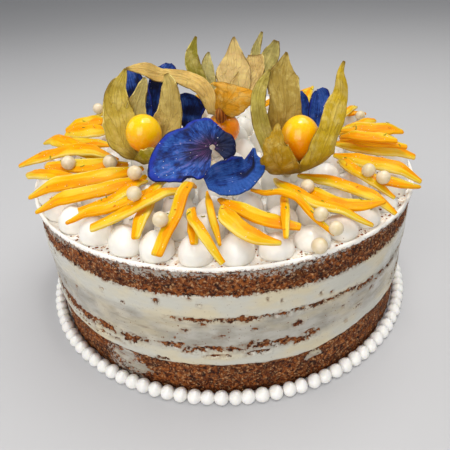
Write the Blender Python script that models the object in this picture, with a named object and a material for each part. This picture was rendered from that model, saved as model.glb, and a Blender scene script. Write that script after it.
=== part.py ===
"""A round naked cake: three sponge layers, two cream fillings and a cream top with piped
kisses, strips of candied peel, sugar pearls, ground cherries in their husks, blue petals
and a border of small beads round the foot. Lengths are in millimetres until the meshes are made."""

import math
import random

import bmesh
import bpy
import numpy as np

MM = 0.001

# Cake and its layers
CAKE_RADIUS = 100.0
NODE_GAP = 0.3
LAYERS = (
    ("sponge_bottom", 0.0, 19.0, 99.3, "sponge"),
    ("filling_lower", 19.0, 28.0, 99.8, "filling"),
    ("sponge_middle", 28.0, 46.5, 99.3, "sponge"),
    ("filling_upper", 46.5, 58.5, 99.8, "filling"),
    ("sponge_top", 58.5, 70.0, 99.3, "sponge"),
)
LAYER_SIDES = 40
LAYER_WAVE = 0.35

# Cream top with its lip
COAT_BOTTOM = 70.3
COAT_TOP = 71.3
LIP_TOP = 72.9
LIP_INSIDE = 98.7

# Piped kisses: ring radius, count, sides, and the profile used
KISS_RINGS = (
    (91.0, 37, 7, "full"),
    (75.5, 30, 6, "plain"),
    (60.0, 23, 6, "plain"),
    (44.5, 17, 5, "plain"),
    (29.0, 10, 5, "plain"),
    (13.0, 4, 5, "plain"),
)
KISS_RADIUS = 7.25
KISS_HEIGHT = 11.3
# Outermost kisses from one bearing to another are pressed lower, by the third figure
LOW_KISSES = (6.0, 76.0, 2.6)
KISS_LEAN_FROM = 0.7
KISS_PROFILES = {
    "full": ((0.97, 0.0), (0.94, 0.42), (0.45, 0.86)),
    "plain": ((0.96, 0.0), (0.76, 0.66)),
}

# Border of beads round the foot
BEAD_COUNT = 104
BEAD_CENTRE = 103.2
BEAD_RADIUS = 3.25
BEAD_WAIST = 2.1

# Strips of peel: tip radius and bearing, inner radius and bearing, width, sideways bend,
# roll in degrees, how much of the width is left at the tip, and for some how far the tip is
# lifted. Strips in one row are stuck together. Those at the front bend most over the rim.
PEEL_THICKNESS = 2.2
PEEL_SINK = 1.3
PEEL_CLEAR = 0.35
PEEL_SAG_FRONT = 0.012
PEEL_SAG_SHARE = 0.15
DROOP_FROM = 93.0
DROOP_HEIGHT = 81.5
DROOP_SLOPE = 0.45
PEELS = (
    ((100.1, -109, 86.3, -123.7, 9.4, 4.3, 26, 0.4),),
    ((93.3, -102.9, 69.7, -111.2, 10.2, 4.3, 26, 0.5),),
    ((91.3, -96.9, 60, -93.4, 6.7, 2.8, 20, 0.4),),
    ((102, -97, 56.8, -70.9, 8.2, 3.2, 30, 0.3),),
    ((108.6, -83.8, 58.8, -69.2, 8, -1.4, 26, 0.25),),
    ((91.8, -75.5, 53.4, -63.3, 8.7, 5.6, 28, 0.45),),
    ((103, -79.1, 74.9, -59.7, 6.2, 7.2, 28, 0.3),),
    ((102.2, -62.7, 49.5, -52.9, 8.6, 7.4, 30, 0.25),),
    ((102.9, -54, 53.5, -43.5, 7.5, 7.8, 28, 0.25),),
    ((92.6, -41.6, 57.1, -38.6, 5.5, 4.3, 14, 0.6),),
    ((98.9, -41.8, 62.5, -33.3, 5.2, 8.1, 14, 0.3),),
    ((97, -21, 53, -31, 6.9, -1, -14, 0.5),),
    ((97.1, -33.8, 51.5, -18.7, 5.6, 10.3, 14, 0.8),),
    ((102, -15, 54, -14, 5.7, 1, 4, 0.8),),
    ((97, -7.3, 77.5, -9.6, 5, -0.1, 4, 0.6),),
    ((103.9, -1.1, 75.1, -9.7, 4.3, -4.9, -6, 0.6),),
    ((97.1, -1.7, 58.5, -7.6, 3.4, -0.6, -6, 0.4),),
    ((93.8, 17.4, 64.4, -2.3, 7.7, -4.3, -8, 0.45),),
    ((98.1, 11.6, 76.6, -0.8, 7.6, -7.8, -12, 0.25),),
    ((99.3, 12.4, 64.6, 23.8, 3.8, -0.3, -8, 0.55),),
    ((101, 141, 70, 142, 8.2, 1, 0, 0.4, 7),),
    ((92.8, 102.9, 64.5, 92.5, 6.4, -1.1, -26, 0.45),),
    ((99.1, 89.6, 65.1, 91.1, 9, -1.7, -26, 0.3),),
    ((99.3, 72.6, 60, 80.3, 8, -3.8, -26, 0.45),),
    ((94.5, 71.2, 62.7, 76.4, 5.4, -2.8, -24, 0.5),),
    ((89.4, 69.3, 62.5, 72.7, 6.4, -2.5, -24, 0.45),),
    ((103.2, 60.9, 61.1, 65.4, 7.9, -3.5, -26, 0.3),),
    ((103.4, 58.5, 70.3, 55.4, 6, -11, -22, 0.3),),
    ((98.4, 46.9, 65.6, 57.3, 5.4, -6.3, -22, 0.3),),
    ((103.3, 42.3, 57.1, 36.8, 6.3, -0.5, -20, 0.3),),
    ((99.3, 40.5, 66, 32.2, 7.3, -10, -14, 0.25),),
    ((102.2, 34.2, 53.5, 25.8, 6.1, -11.8, -8, 0.35),),
    ((100.1, 24.1, 60, 11, 3.6, -1.1, -6, 0.4),),
)
BACK_FIRST_BEARING = 112.0
BACK_SPACING = 19.5
BACK_ROWS = 7
BACK_SEED = 25

# Sugar pearls: radius from the middle, bearing and size
PEARL_SINK = 0.6
PEARL_PRESS = 0.9
PEARL_LOWEST = 79.0
RIM_PEARL_FROM = 94.0
PEARLS = (
    (80.8, -68, 3.4), (62.4, -61.7, 3.4), (64.1, -39.1, 3.3), (82, -26, 3), (90.5, -16, 3.1),
    (93.8, 23, 2.8), (100.2, 24.2, 2.8), (99.5, 20.5, 3.2), (85.9, 45.8, 2.9), (91.2, 45.7, 2.9),
    (88.8, 78.6, 3), (89, 109, 2.9), (49, 40, 3), (31, -4, 3.1), (94, -124, 3.4),
    (73, 27, 3), (80, 128, 3.1), (92, 166, 3.1), (70, 196, 3.2), (86, 222, 3.1),
    (40, 150, 3.2),
)

# Ground cherries: middle, half width and half height
BERRIES = {
    "left": ((-36.6, -29.5, 100.3), 8.4, 9.2),
    "right": ((34.0, -46.5, 101.0), 8.6, 10.1),
    "middle": ((1.1, -6.0, 92.2), 8.6, 8.7),
}

# Husks: the middle of the cup that the lobes spring from, then the lobes in turn round it, each
# as points along its middle with its half width there
HUSK_THICKNESS = 0.8
CUP_THICKNESS = 3.2
HUSK_CUP = 0.28
HUSKS = {
    "left": (
        (-38.6, -30.2, 86.2),
        (
            ((-36, -33.6, 87.8), 3.2), ((-33.6, -37.8, 90.2), 4.6), ((-30.8, -41, 92), 4.2),
            ((-28.6, -43, 92.6), 1.2),
        ),
        (
            ((-35, -27.6, 88.4), 3.5), ((-30, -24.4, 93), 5.6), ((-26.4, -22.4, 100), 7.0),
            ((-24.1, -20.4, 106.6), 6.0), ((-23.4, -18, 113), 4.8), ((-23.7, -15, 118.6), 3.6),
            ((-25.1, -12, 123.1), 0.9),
        ),
        (
            ((-40.5, -26, 88.4), 3.0), ((-42, -19.6, 97), 4.6), ((-41.1, -16.4, 108), 4.4),
            ((-38.4, -14.4, 114.5), 2.8), ((-36.3, -13, 119.1), 1.9), ((-35.5, -12, 122), 0.5),
        ),
        (
            ((-43, -30, 88.4), 3.6), ((-46.5, -28, 92), 5.6), ((-48.6, -25, 97.5), 7.0),
            ((-48.7, -21.6, 104), 7.6), ((-49.6, -18.6, 111), 6.4), ((-48.9, -15, 117.5), 4.4),
            ((-46.3, -12, 122.2), 2.1), ((-44.2, -10, 126.1), 0.5),
        ),
    ),
    "right": (
        (34.5, -48.0, 86.2),
        (
            ((39.4, -54, 88), 3.6), ((41.1, -57, 92.3), 5.2), ((41.4, -58, 97), 5.8),
            ((42.3, -57, 101.6), 5.4), ((44.7, -54.5, 106), 4.7), ((46.7, -51, 110.1), 5.1),
            ((48.9, -47, 114), 4.8), ((51.5, -42.5, 117.9), 3.2), ((52.1, -38.5, 122.1), 2.4),
            ((52.4, -35, 125.9), 1.3), ((54.4, -32, 129.2), 0.4),
        ),
        (
            ((34, -43.8, 88.4), 3.4), ((31.5, -38, 92.5), 5.6), ((29.8, -35.8, 99), 7.2),
            ((28.6, -35.2, 107), 7.6), ((28.9, -31, 115.7), 7.4), ((28.6, -26, 122), 6.4),
            ((29.8, -22, 126.7), 3.2), ((31.2, -19, 131.6), 0.5),
        ),
        (
            ((30.8, -46, 88.2), 2.6), ((24.5, -44, 92), 3.2), ((20.6, -43, 98), 3.6),
            ((17.6, -41, 106.2), 3.6), ((16.5, -38, 114), 3.2), ((17.8, -33, 119.1), 2.8),
            ((20.5, -29, 123.1), 1.8), ((22.9, -27, 126), 0.5),
        ),
        (
            ((27.6, -54.5, 87.4), 3), ((24.9, -57.5, 90.7), 5.2), ((23.2, -59.4, 95.1), 5.5),
            ((22.1, -59.9, 99.9), 5.0), ((21.5, -58.5, 103), 4.9), ((22.2, -57, 106), 3),
            ((22.8, -55, 108.4), 1.6), ((23.4, -52.5, 110.5), 0.4),
        ),
    ),
    "middle": (
        (0.3, -12.4, 102.0),
        (
            ((-4.2, -11.2, 104), 2.2), ((-5.6, -4, 109), 3.9), ((-10.4, 1, 114), 4.4),
            ((-17.3, 3, 117), 4.4), ((-24.7, 2, 118.9), 3.6), ((-31, 0.5, 120.6), 3.3),
            ((-37.9, -3, 124), 2.6), ((-45.1, -5, 124.8), 0.5),
        ),
        (
            ((0, -14.2, 101.8), 1.4), ((0.5, -16.2, 104.9), 3.1), ((2.1, -17.6, 107.8), 5.2),
            ((4.3, -18.2, 110.9), 8.1), ((6.2, -17.5, 113.3), 10), ((7.5, -15.8, 115.2), 10.5),
            ((8, -14.4, 116), 10.1),
        ),
        (
            ((4.8, -10, 102.8), 2.0), ((11.6, 2, 104.6), 3.2), ((19.4, 13, 108.8), 4.0),
            ((25.2, 19.5, 115.5), 4.6), ((29.4, 23.5, 122.4), 4.4), ((32.4, 26, 128.8), 1.4),
        ),
        (
            ((3.9, -8.6, 101.8), 2.0), ((7.4, -1, 104.8), 4.2), ((12.4, 9, 108.4), 6.2),
            ((17, 15, 114), 6.8), ((19.6, 19.4, 119), 5.8), ((20.3, 22, 122.6), 3.8),
        ),
        (
            ((2.3, -7.6, 101.4), 1.8), ((5.6, 4, 104), 2.4), ((14, 19.5, 110.6), 2.8),
            ((20, 26, 119), 2.6), ((22, 28.5, 126), 2.0), ((25, 30, 133), 0.5),
        ),
        (
            ((0.1, -7.4, 101.6), 2.0), ((1.6, -2, 103.6), 4.6), ((4, 4.6, 106), 7.2),
            ((7.5, 10, 111), 9.0), ((8.4, 15, 117), 8.6), ((8.8, 20, 123.1), 5.2),
            ((9.2, 25, 131.9), 0.5),
        ),
        (
            ((-2, -7.8, 101.6), 1.8), ((-3.6, 3.6, 105), 3.0), ((-4.6, 11, 110.4), 3.6),
            ((-6, 16, 119), 3.2), ((-4.7, 20, 125.8), 0.6),
        ),
        (
            ((-3.7, -9, 102), 1.9), ((-6.4, 1, 106), 2.8), ((-9.4, 9, 112), 3.6),
            ((-13, 15, 119.5), 4.0), ((-13.8, 19, 125.5), 3.2), ((-11, 24, 133.2), 0.5),
        ),
    ),
}

# Knob under the middle husk: middle, half width and half height
HUSK_KNOB = ((0.0, -16.0, 102.8), 2.8, 4.0)

# Petals of the blade kind: points along the middle with the half width there, and the cup
PETAL_THICKNESS = 0.7
PETALS = {
    "petal_cup": (
        0.55,
        (
            ((-7.6, -64, 89.7), 2.4), ((-4.4, -63.2, 90.5), 6.0), ((0.2, -62, 90.7), 7.4),
            ((4.7, -60.8, 91), 7.3), ((8.8, -58.8, 91.6), 6.6), ((12.3, -56, 93.3), 4.6),
            ((12.9, -52, 96.1), 1.7), ((13.6, -48.6, 98.2), 0.5),
        ),
    ),
    "petal_back_left": (
        0.25,
        (
            ((-37.5, -11.5, 95), 1.6), ((-40.5, -8.8, 103), 6.4), ((-42.5, -4.6, 112), 7.6),
            ((-44.5, 1, 120), 4.4), ((-45.6, 3.2, 122.4), 0.8),
        ),
    ),
    "petal_back_tall": (
        0.3,
        (
            ((-31.5, -9, 92), 1.8), ((-31.4, -5, 101), 6.0), ((-29.8, 1, 110.5), 7.6),
            ((-27, 8, 119), 6.0), ((-25.6, 11.4, 122.8), 1.6),
        ),
    ),
    "petal_back_middle": (
        0.35,
        (((-16.6, -2.6, 90), 1.4), ((-16.4, -1.2, 97), 5.6), ((-14.8, 0.6, 104), 6.6), ((-13.4, -1, 109), 3.2)),
    ),
    "petal_side_low": (
        0.3,
        (((37.5, -25, 92), 1.4), ((38.6, -20, 99), 4.2), ((39.6, -14, 106), 4.0), ((39.8, -10, 111), 1.0)),
    ),
    "petal_side_high": (
        0.4,
        (
            ((46.8, -27, 90), 1.6), ((47.2, -22.5, 97), 4.8), ((48.6, -18, 104.5), 5.6),
            ((49.2, -13.5, 110.5), 3.6), ((48.8, -12, 112.4), 1.0),
        ),
    ),
}

# The large petal, spread round its claw: bearing in the petal's own plane and radius there
LARGE_PETAL_CLAW = (-4.5, -44.5, 98.0)
LARGE_PETAL_RADII = (13, 17.2, 22.4, 30, 26.8, 22, 16.2, 15.4, 13.8, 11, 9.3, 9, 9.5, 10.2, 10.6, 10.2, 8)
LARGE_PETAL_FIRST = 262.0
LARGE_PETAL_TURN = 312.0

# The direction that lobes and petals turn their faces to
FACING_SIDE = np.array((0.0, -0.846, 0.533))

MATERIALS = {
    "sponge": ((0.085, 0.022, 0.006), 0.85),
    "filling": ((0.60, 0.57, 0.47), 0.55),
    "cream": ((0.84, 0.82, 0.76), 0.42),
    "bead": ((0.82, 0.84, 0.79), 0.38),
    "peel": ((0.82, 0.40, 0.008), 0.28),
    "berry": ((0.93, 0.42, 0.008), 0.22),
    "husk": ((0.44, 0.30, 0.06), 0.6),
    "tan_husk": ((0.58, 0.36, 0.09), 0.6),
    "petal": ((0.03, 0.055, 0.27), 0.5),
}


def bearing_point(radius, bearing):
    """A point seen from above; bearing 0 is the front and grows to the right."""
    turn = math.radians(bearing)
    return np.array((radius * math.sin(turn), -radius * math.cos(turn)))


def unit(vector):
    return vector / max(np.linalg.norm(vector), 1e-9)


PEARL_OWNER = -2


class HeightField:
    """The upper surface of all that has been laid so far, on a square grid seen from above."""

    def __init__(self, half, cell):
        self.half = half
        self.cell = cell
        line = np.arange(-half, half + cell, cell)
        self.x, self.y = np.meshgrid(line, line, indexing="ij")
        self.z = np.zeros_like(self.x)
        self.owner = np.full(self.x.shape, -1)

    def window(self, x, y, reach):
        """The cells within reach of a point: their slice and which of them are near enough."""
        low = [max(int((v - reach + self.half) / self.cell), 0) for v in (x, y)]
        high = [int((v + reach + self.half) / self.cell) + 2 for v in (x, y)]
        part = (slice(low[0], high[0]), slice(low[1], high[1]))
        near = (self.x[part] - x) ** 2 + (self.y[part] - y) ** 2 <= reach**2
        return part, near

    def highest(self, x, y, reach):
        part, near = self.window(x, y, reach)
        return float(self.z[part][near].max()) if near.any() else 0.0

    def rest_height(self, x, y, reach, own):
        """How low a strip may lie: clear of all else, but pressed into what is its own."""
        part, near = self.window(x, y, reach)
        step = np.where(self.owner[part] == own, -PEEL_SINK, NODE_GAP)
        return float((self.z[part] + step)[near].max())

    def heap_up(self, x, y, reach, surface, owner):
        """Raises the cells within reach to surface(offsets from the point)."""
        part, near = self.window(x, y, reach)
        fresh = np.where(near, surface(self.x[part] - x, self.y[part] - y), 0.0)
        higher = fresh > self.z[part]
        self.z[part][higher] = fresh[higher]
        self.owner[part][higher] = owner


def mesh_object(name, points, faces, material, smooth=True):
    """One object whose points are given in millimetres."""
    mesh = bpy.data.meshes.new(name)
    mesh.from_pydata([tuple(float(v) * MM for v in p) for p in points], [], faces)
    mesh.validate()
    mesh.update()
    if smooth:
        mesh.shade_smooth()
    made = bpy.data.objects.new(name, mesh)
    made.data.materials.append(material)
    bpy.context.scene.collection.objects.link(made)
    return made


def plain_material(name):
    colour, roughness = MATERIALS[name]
    material = bpy.data.materials.new(name)
    material.use_nodes = True
    shader = material.node_tree.nodes["Principled BSDF"]
    shader.inputs["Base Color"].default_value = (*colour, 1.0)
    shader.inputs["Roughness"].default_value = roughness
    shader.inputs["Metallic"].default_value = 0.0
    return material


def fuse(base, others):
    """Unites base with the others, which are removed."""
    group = bpy.data.collections.new("group")
    for other in others:
        group.objects.link(other)
    step = base.modifiers.new("union", "BOOLEAN")
    step.operation = "UNION"
    step.solver = "EXACT"
    step.operand_type = "COLLECTION"
    step.collection = group
    graph = bpy.context.evaluated_depsgraph_get()
    graph.update()
    united = bpy.data.meshes.new_from_object(base.evaluated_get(graph))
    base.modifiers.clear()
    base.data = united
    fill_hollows(united)
    for other in others:
        bpy.data.objects.remove(other)
    bpy.data.collections.remove(group)
    return base


def fill_hollows(mesh):
    """Takes out the walls of closed hollows, so that the body is solid there."""
    work = bmesh.new()
    work.from_mesh(mesh)
    seen, inner = set(), []
    for start in work.faces:
        if start in seen:
            continue
        seen.add(start)
        island, waiting = [], [start]
        while waiting:
            face = waiting.pop()
            island.append(face)
            for edge in face.edges:
                for other in edge.link_faces:
                    if other not in seen:
                        seen.add(other)
                        waiting.append(other)
        volume = sum(f.calc_center_median().dot(f.normal) * f.calc_area() for f in island)
        if volume < 0:
            inner += island
    bmesh.ops.delete(work, geom=inner, context="FACES")
    work.to_mesh(mesh)
    work.free()


def stacked_rings(rings, foot=None, crown=None, flat_bands=0):
    """A closed body of rings of equal count, ending in a flat face or in a point."""
    points = [p for ring in rings for p in ring]
    sides = len(rings[0])
    faces = []
    for level in range(len(rings) - 1):
        for i in range(sides):
            j = (i + 1) % sides
            low = level * sides
            if level < flat_bands:
                faces.append((low + i, low + j, low + sides + j, low + sides + i))
            else:
                faces.append((low + i, low + j, low + sides + j))
                faces.append((low + i, low + sides + j, low + sides + i))
    if foot is None:
        faces.append(tuple(reversed(range(sides))))
    else:
        points.append(foot)
        faces += [((i + 1) % sides, i, len(points) - 1) for i in range(sides)]
    top = (len(rings) - 1) * sides
    if crown is None:
        faces.append(tuple(range(top, top + sides)))
    else:
        points.append(crown)
        faces += [(top + i, top + (i + 1) % sides, len(points) - 1) for i in range(sides)]
    return points, faces


def joined(bodies):
    """Several separate bodies as one list of points and faces."""
    points, faces = [], []
    for body_points, body_faces in bodies:
        first = len(points)
        points += body_points
        faces += [tuple(first + i for i in face) for face in body_faces]
    return points, faces


def uneven(turn, phase):
    """A slow, irregular wave round the cake, between -1 and 1."""
    return (
        math.sin(3 * turn + phase) + math.sin(5 * turn + 2.3 * phase) + 0.7 * math.sin(11 * turn + 1.7 * phase)
    ) / 2.7


def build_layers(materials):
    for index, (name, low, high, radius, kind) in enumerate(LAYERS):
        foot = low + (NODE_GAP / 2 if low > 0 else 0.0)
        crown = high - NODE_GAP / 2
        rings = []
        for step, z in enumerate((foot, crown)):
            ring = []
            for i in range(LAYER_SIDES):
                turn = 2 * math.pi * i / LAYER_SIDES
                r = radius + LAYER_WAVE * uneven(turn, 1.0 + index + 0.6 * step)
                ring.append((r * math.cos(turn), r * math.sin(turn), z))
            rings.append(ring)
        points, faces = stacked_rings(rings)
        mesh_object(name, points, faces, materials[kind])


def coat_body():
    """The cream over the top sponge, with its thin raised lip."""
    profile = (
        (CAKE_RADIUS - 0.6, COAT_BOTTOM),
        (CAKE_RADIUS + 0.25, COAT_BOTTOM + 0.5),
        (CAKE_RADIUS + 0.2, LIP_TOP - 0.5),
        (CAKE_RADIUS - 0.5, LIP_TOP),
        (LIP_INSIDE, COAT_TOP),
    )
    rings = []
    for step, (radius, height) in enumerate(profile):
        ring = []
        for i in range(LAYER_SIDES):
            turn = 2 * math.pi * i / LAYER_SIDES
            r = radius + 0.25 * uneven(turn, 4.0) * (step in (1, 2, 3))
            z = height + 0.35 * uneven(turn, 7.0) * (step in (2, 3))
            ring.append((r * math.cos(turn), r * math.sin(turn), z))
        rings.append(ring)
    return stacked_rings(rings)


def kiss_places():
    """Middle, radius, height, sides and profile of every kiss, from the rim inwards."""
    chance = random.Random(5)
    places = []
    for number, (ring_radius, count, sides, profile) in enumerate(KISS_RINGS):
        for i in range(count):
            bearing = 360.0 * i / count + 2.0 + 4.0 * number + chance.uniform(-0.5, 0.5)
            x, y = bearing_point(ring_radius + chance.uniform(-0.25, 0.25), bearing)
            radius = KISS_RADIUS + chance.uniform(-0.2, 0.05)
            height = KISS_HEIGHT + chance.uniform(-0.9, 0.0)
            if number == 0 and LOW_KISSES[0] < bearing < LOW_KISSES[1]:
                height -= LOW_KISSES[2]
            places.append((x, y, radius, height, sides, profile))
    return places


def kiss_body(place, lean):
    x, y, radius, height, sides, profile = place
    rings = []
    for share, rise in KISS_PROFILES[profile]:
        ring = []
        for i in range(sides):
            turn = 2 * math.pi * (i + 0.5) / sides
            leaning = max(rise - KISS_LEAN_FROM, 0.0) / (1 - KISS_LEAN_FROM)
            px = x + radius * share * math.cos(turn) + lean[0] * leaning
            py = y + radius * share * math.sin(turn) + lean[1] * leaning
            ring.append((px, py, COAT_TOP - 0.4 + (height + 0.4) * rise))
        rings.append(ring)
    crown = (x + lean[0], y + lean[1], COAT_TOP + height)
    return stacked_rings(rings, crown=crown, flat_bands=1)


def kiss_height(place):
    """The height over the table of a kiss at a distance from its middle."""
    _, _, radius, height, _, profile = place
    steps = [(share * radius + 0.25, rise) for share, rise in KISS_PROFILES[profile]]
    far = [0.0] + [step[0] for step in reversed(steps)]
    rise = [1.0] + [step[1] for step in reversed(steps)]
    return lambda dx, dy: COAT_TOP + height * np.interp(np.hypot(dx, dy), far, rise)


def build_beads(material):
    chance = random.Random(8)
    stations = []
    for i in range(BEAD_COUNT):
        size = chance.uniform(0.94, 1.0)
        stations.append((i - 0.5, BEAD_WAIST * size))
        stations.append((i + chance.uniform(-0.06, 0.06), BEAD_RADIUS * size))
    points, faces = [], []
    section = [math.radians(a) for a in (234, 306, 18, 90, 162)]
    for place, size in stations:
        turn = 2 * math.pi * place / BEAD_COUNT
        for angle in section:
            r = BEAD_CENTRE + size * math.cos(angle)
            z = max(BEAD_RADIUS * 0.8 + size * math.sin(angle), 0.0) if math.sin(angle) > 0 else 0.0
            points.append((r * math.sin(turn), -r * math.cos(turn), z))
    count, sides = len(stations), len(section)
    for i in range(count):
        for k in range(sides):
            a, b = i * sides + k, i * sides + (k + 1) % sides
            c, d = ((i + 1) % count) * sides + (k + 1) % sides, ((i + 1) % count) * sides + k
            faces.append((a, c, b))
            faces.append((a, d, c))
    mesh_object("bead_border", points, faces, material)


def peel_line(peel, count):
    """Points, half widths and thicknesses along a strip, from its inner end to its tip."""
    tip_radius, tip_bearing, inner_radius, inner_bearing, width, bend, _, tip_share = peel[:8]
    start = bearing_point(inner_radius, inner_bearing)
    end = bearing_point(tip_radius, tip_bearing)
    along = end - start
    side = unit(np.array((-along[1], along[0])))
    middle = (start + end) / 2 + 2 * bend * side
    s = np.linspace(0.0, 1.0, count)[:, None]
    line = (1 - s) ** 2 * start + 2 * s * (1 - s) * middle + s**2 * end
    s = s[:, 0]
    share = np.minimum(np.minimum(0.30 + 2.6 * s, 1.0), tip_share + (1 - tip_share) * 4.0 * (1 - s))
    share = np.minimum(share, 1.0)
    return line, 0.5 * width * share, PEEL_THICKNESS * (0.55 + 0.45 * share)


def resting_line(field, line, reach, own):
    """The lowest gently bent line that clears the field below a strip; front strips bend most."""
    facing = max(-unit(line[-1])[1], 0.0)
    bend = PEEL_SAG_FRONT * (PEEL_SAG_SHARE + (1 - PEEL_SAG_SHARE) * facing**2)
    distance = np.concatenate(([0.0], np.cumsum(np.linalg.norm(np.diff(line, axis=0), axis=1))))
    need = np.empty(len(line))
    for i, (x, y) in enumerate(line):
        droop = DROOP_HEIGHT - DROOP_SLOPE * max(math.hypot(x, y) - DROOP_FROM, 0.0)
        need[i] = max(field.rest_height(x, y, reach[i], own), droop)
    pole = np.linspace(-60.0, distance[-1] + 60.0, 240)
    sag = bend * (distance[:, None] - pole[None, :]) ** 2
    above = (need[:, None] - sag).max(axis=0)
    return (above[None, :] + sag).min(axis=1), need


def cleared_heights(heights, need, picks):
    """Raises the ends of each straight piece until the whole piece clears what it needs."""
    heights = heights.copy()
    samples = np.arange(len(need))
    for _ in range(3):
        short = need - np.interp(samples, picks, heights)
        for k in range(len(picks) - 1):
            lift = float(short[picks[k] : picks[k + 1] + 1].max())
            if lift > 0:
                heights[k] += 0.5 * lift
                heights[k + 1] += 0.5 * lift
    short = need - np.interp(samples, picks, heights)
    return heights + max(float(short.max()), 0.0)


def tilted_top(height, half, ahead, roll):
    """The upper side of a rolled strip as a function of the offset from its middle."""

    def surface(dx, dy):
        sideways = np.clip(dx * ahead[1] - dy * ahead[0], -half, half)
        return height + sideways * math.tan(roll)

    return surface


def lay_peel(field, peel, owner, segments=5, fine=41):
    """The body of a strip resting on the field, which it then raises."""
    roll = math.radians(peel[6])
    line, half, thick = peel_line(peel, fine)
    reach = half * math.cos(roll) + 0.5 * thick * abs(math.sin(roll)) + PEEL_CLEAR
    low, need = resting_line(field, line, reach, owner)
    if len(peel) > 8:
        low = low + peel[8] * np.linspace(0, 1, fine) ** 2
    picks = np.round(np.linspace(0, fine - 1, segments + 1)).astype(int)
    samples = np.arange(fine)
    low = np.interp(samples, picks, cleared_heights(low[picks], need, picks))
    drop = half * abs(math.sin(roll)) + 0.5 * thick * math.cos(roll)
    rings = []
    for k, i in enumerate(picks):
        before, after = picks[max(k - 1, 0)], picks[min(k + 1, segments)]
        ahead = unit(line[after] - line[before])
        across = np.array((ahead[1], -ahead[0], 0.0))
        side = math.cos(roll) * across + math.sin(roll) * np.array((0, 0, 1.0))
        up = -math.sin(roll) * across + math.cos(roll) * np.array((0, 0, 1.0))
        middle = np.array((*line[i], low[i] + drop[i]))
        corners = ((1, -1), (-1, -1), (-0.8, 1), (0.8, 1))
        rings.append([middle + half[i] * a * side + 0.5 * thick[i] * b * up for a, b in corners])
    top = low + drop + 0.5 * thick * math.cos(roll)
    for i in range(fine):
        ahead = unit(line[min(i + 1, fine - 1)] - line[max(i - 1, 0)])
        surface = tilted_top(top[i], half[i], ahead, roll)
        field.heap_up(*line[i], reach[i], surface, owner)
    return stacked_rings(rings)


def thicken(points, patches, thickness):
    """A thin closed body on both sides of a surface of triangles and quads, split alike."""
    points = np.array(points, float)
    thickness = np.broadcast_to(np.array(thickness, float), (len(points),))[:, None]
    triangles = []
    for patch in patches:
        triangles += [(patch[0], patch[i], patch[i + 1]) for i in range(1, len(patch) - 1)]
    normal = np.zeros_like(points)
    for a, b, c in triangles:
        face_normal = np.cross(points[b] - points[a], points[c] - points[a])
        for i in (a, b, c):
            normal[i] += face_normal
    normal /= np.linalg.norm(normal, axis=1, keepdims=True) + 1e-9
    solid = np.concatenate((points + normal * thickness / 2, points - normal * thickness / 2))
    shift = len(points)
    edges = {(face[i], face[(i + 1) % 3]) for face in triangles for i in range(3)}
    faces = list(triangles)
    faces += [tuple(i + shift for i in reversed(face)) for face in triangles]
    for i, j in sorted(edges):
        if (j, i) not in edges:
            faces.append((j, i, i + shift))
            faces.append((j, i + shift, j + shift))
    return [tuple(p) for p in solid], faces


def grid_patches(first, rows, columns):
    """The quads of a grid whose points are numbered row by row from first."""
    patches = []
    for r in range(rows - 1):
        for c in range(columns - 1):
            a = first + r * columns + c
            patches.append((a, a + columns, a + columns + 1, a + 1))
    return patches


def sheet(grid, thickness):
    rows, columns = grid.shape[:2]
    return thicken(grid.reshape(-1, 3), grid_patches(0, rows, columns), thickness)


def cup_and_lobes(heart, grids):
    """A round cup about its heart, whose rim splits into lobes; neighbours share their corners."""
    count = len(grids)
    for j in range(count):
        travel = grids[(j + 1) % count][0].mean(axis=0) - grids[j - 1][0].mean(axis=0)
        if np.dot(grids[j][0, -1] - grids[j][0, 0], travel) < 0:
            grids[j] = grids[j][:, ::-1]
    for j in range(count):
        after = (j + 1) % count
        corner = (grids[j][0, -1] + grids[after][0, 0]) / 2
        grids[j][0, -1] = corner
        grids[after][0, 0] = corner
    rim = np.concatenate([grid[0, :-1] for grid in grids])
    sides = len(rim)
    heart = np.array(heart)
    points = [heart]
    points += list(heart + 0.55 * (rim - heart))
    points += list(rim)
    thickness = [CUP_THICKNESS] + [1.5] * sides + [HUSK_THICKNESS] * sides
    patches = [(0, 1 + i, 1 + (i + 1) % sides) for i in range(sides)]
    for i in range(sides):
        j = (i + 1) % sides
        patches.append((1 + i, 1 + sides + i, 1 + sides + j, 1 + j))
    start = 0
    for grid in grids:
        rows, columns = grid.shape[:2]
        first = len(points)
        base = [1 + sides + (start + c) % sides for c in range(columns)]
        patches += [(base[c], first + c, first + c + 1, base[c + 1]) for c in range(columns - 1)]
        patches += grid_patches(first, rows - 1, columns)
        points += list(grid[1:].reshape(-1, 3))
        start += columns - 1
    thickness += [HUSK_THICKNESS] * (len(points) - len(thickness))
    return thicken(points, patches, thickness)


def outside_berries(point, clearance):
    """Moves a point straight out of any berry that it is in or too near to."""
    for middle, half_width, half_height in BERRIES.values():
        size = np.array((half_width, half_width, half_height)) + clearance
        offset = (point - np.array(middle)) / size
        distance = np.linalg.norm(offset)
        if distance < 1.0:
            point = np.array(middle) + offset / max(distance, 1e-6) * size
    return point


def above_field(field, point, clearance):
    floor = field.highest(point[0], point[1], 1.2) + clearance
    return np.array((point[0], point[1], max(point[2], floor)))


def bowl(stations, hub):
    """How far a lobe is hollowed, so that its hollow side is turned to the berry."""
    middle = np.array(stations[len(stations) // 2][0], float)
    turned = float(np.dot(unit(np.array(hub) - middle), FACING_SIDE))
    return HUSK_CUP * min(max(turned / 0.3, -1.0), 1.0)


def facing_of(point, hub, cup):
    """The direction that a lobe's face turns to at a point: its hollow side towards the hub."""
    return unit(FACING_SIDE + 0.8 * cup / HUSK_CUP * unit(np.array(hub) - point))


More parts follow.
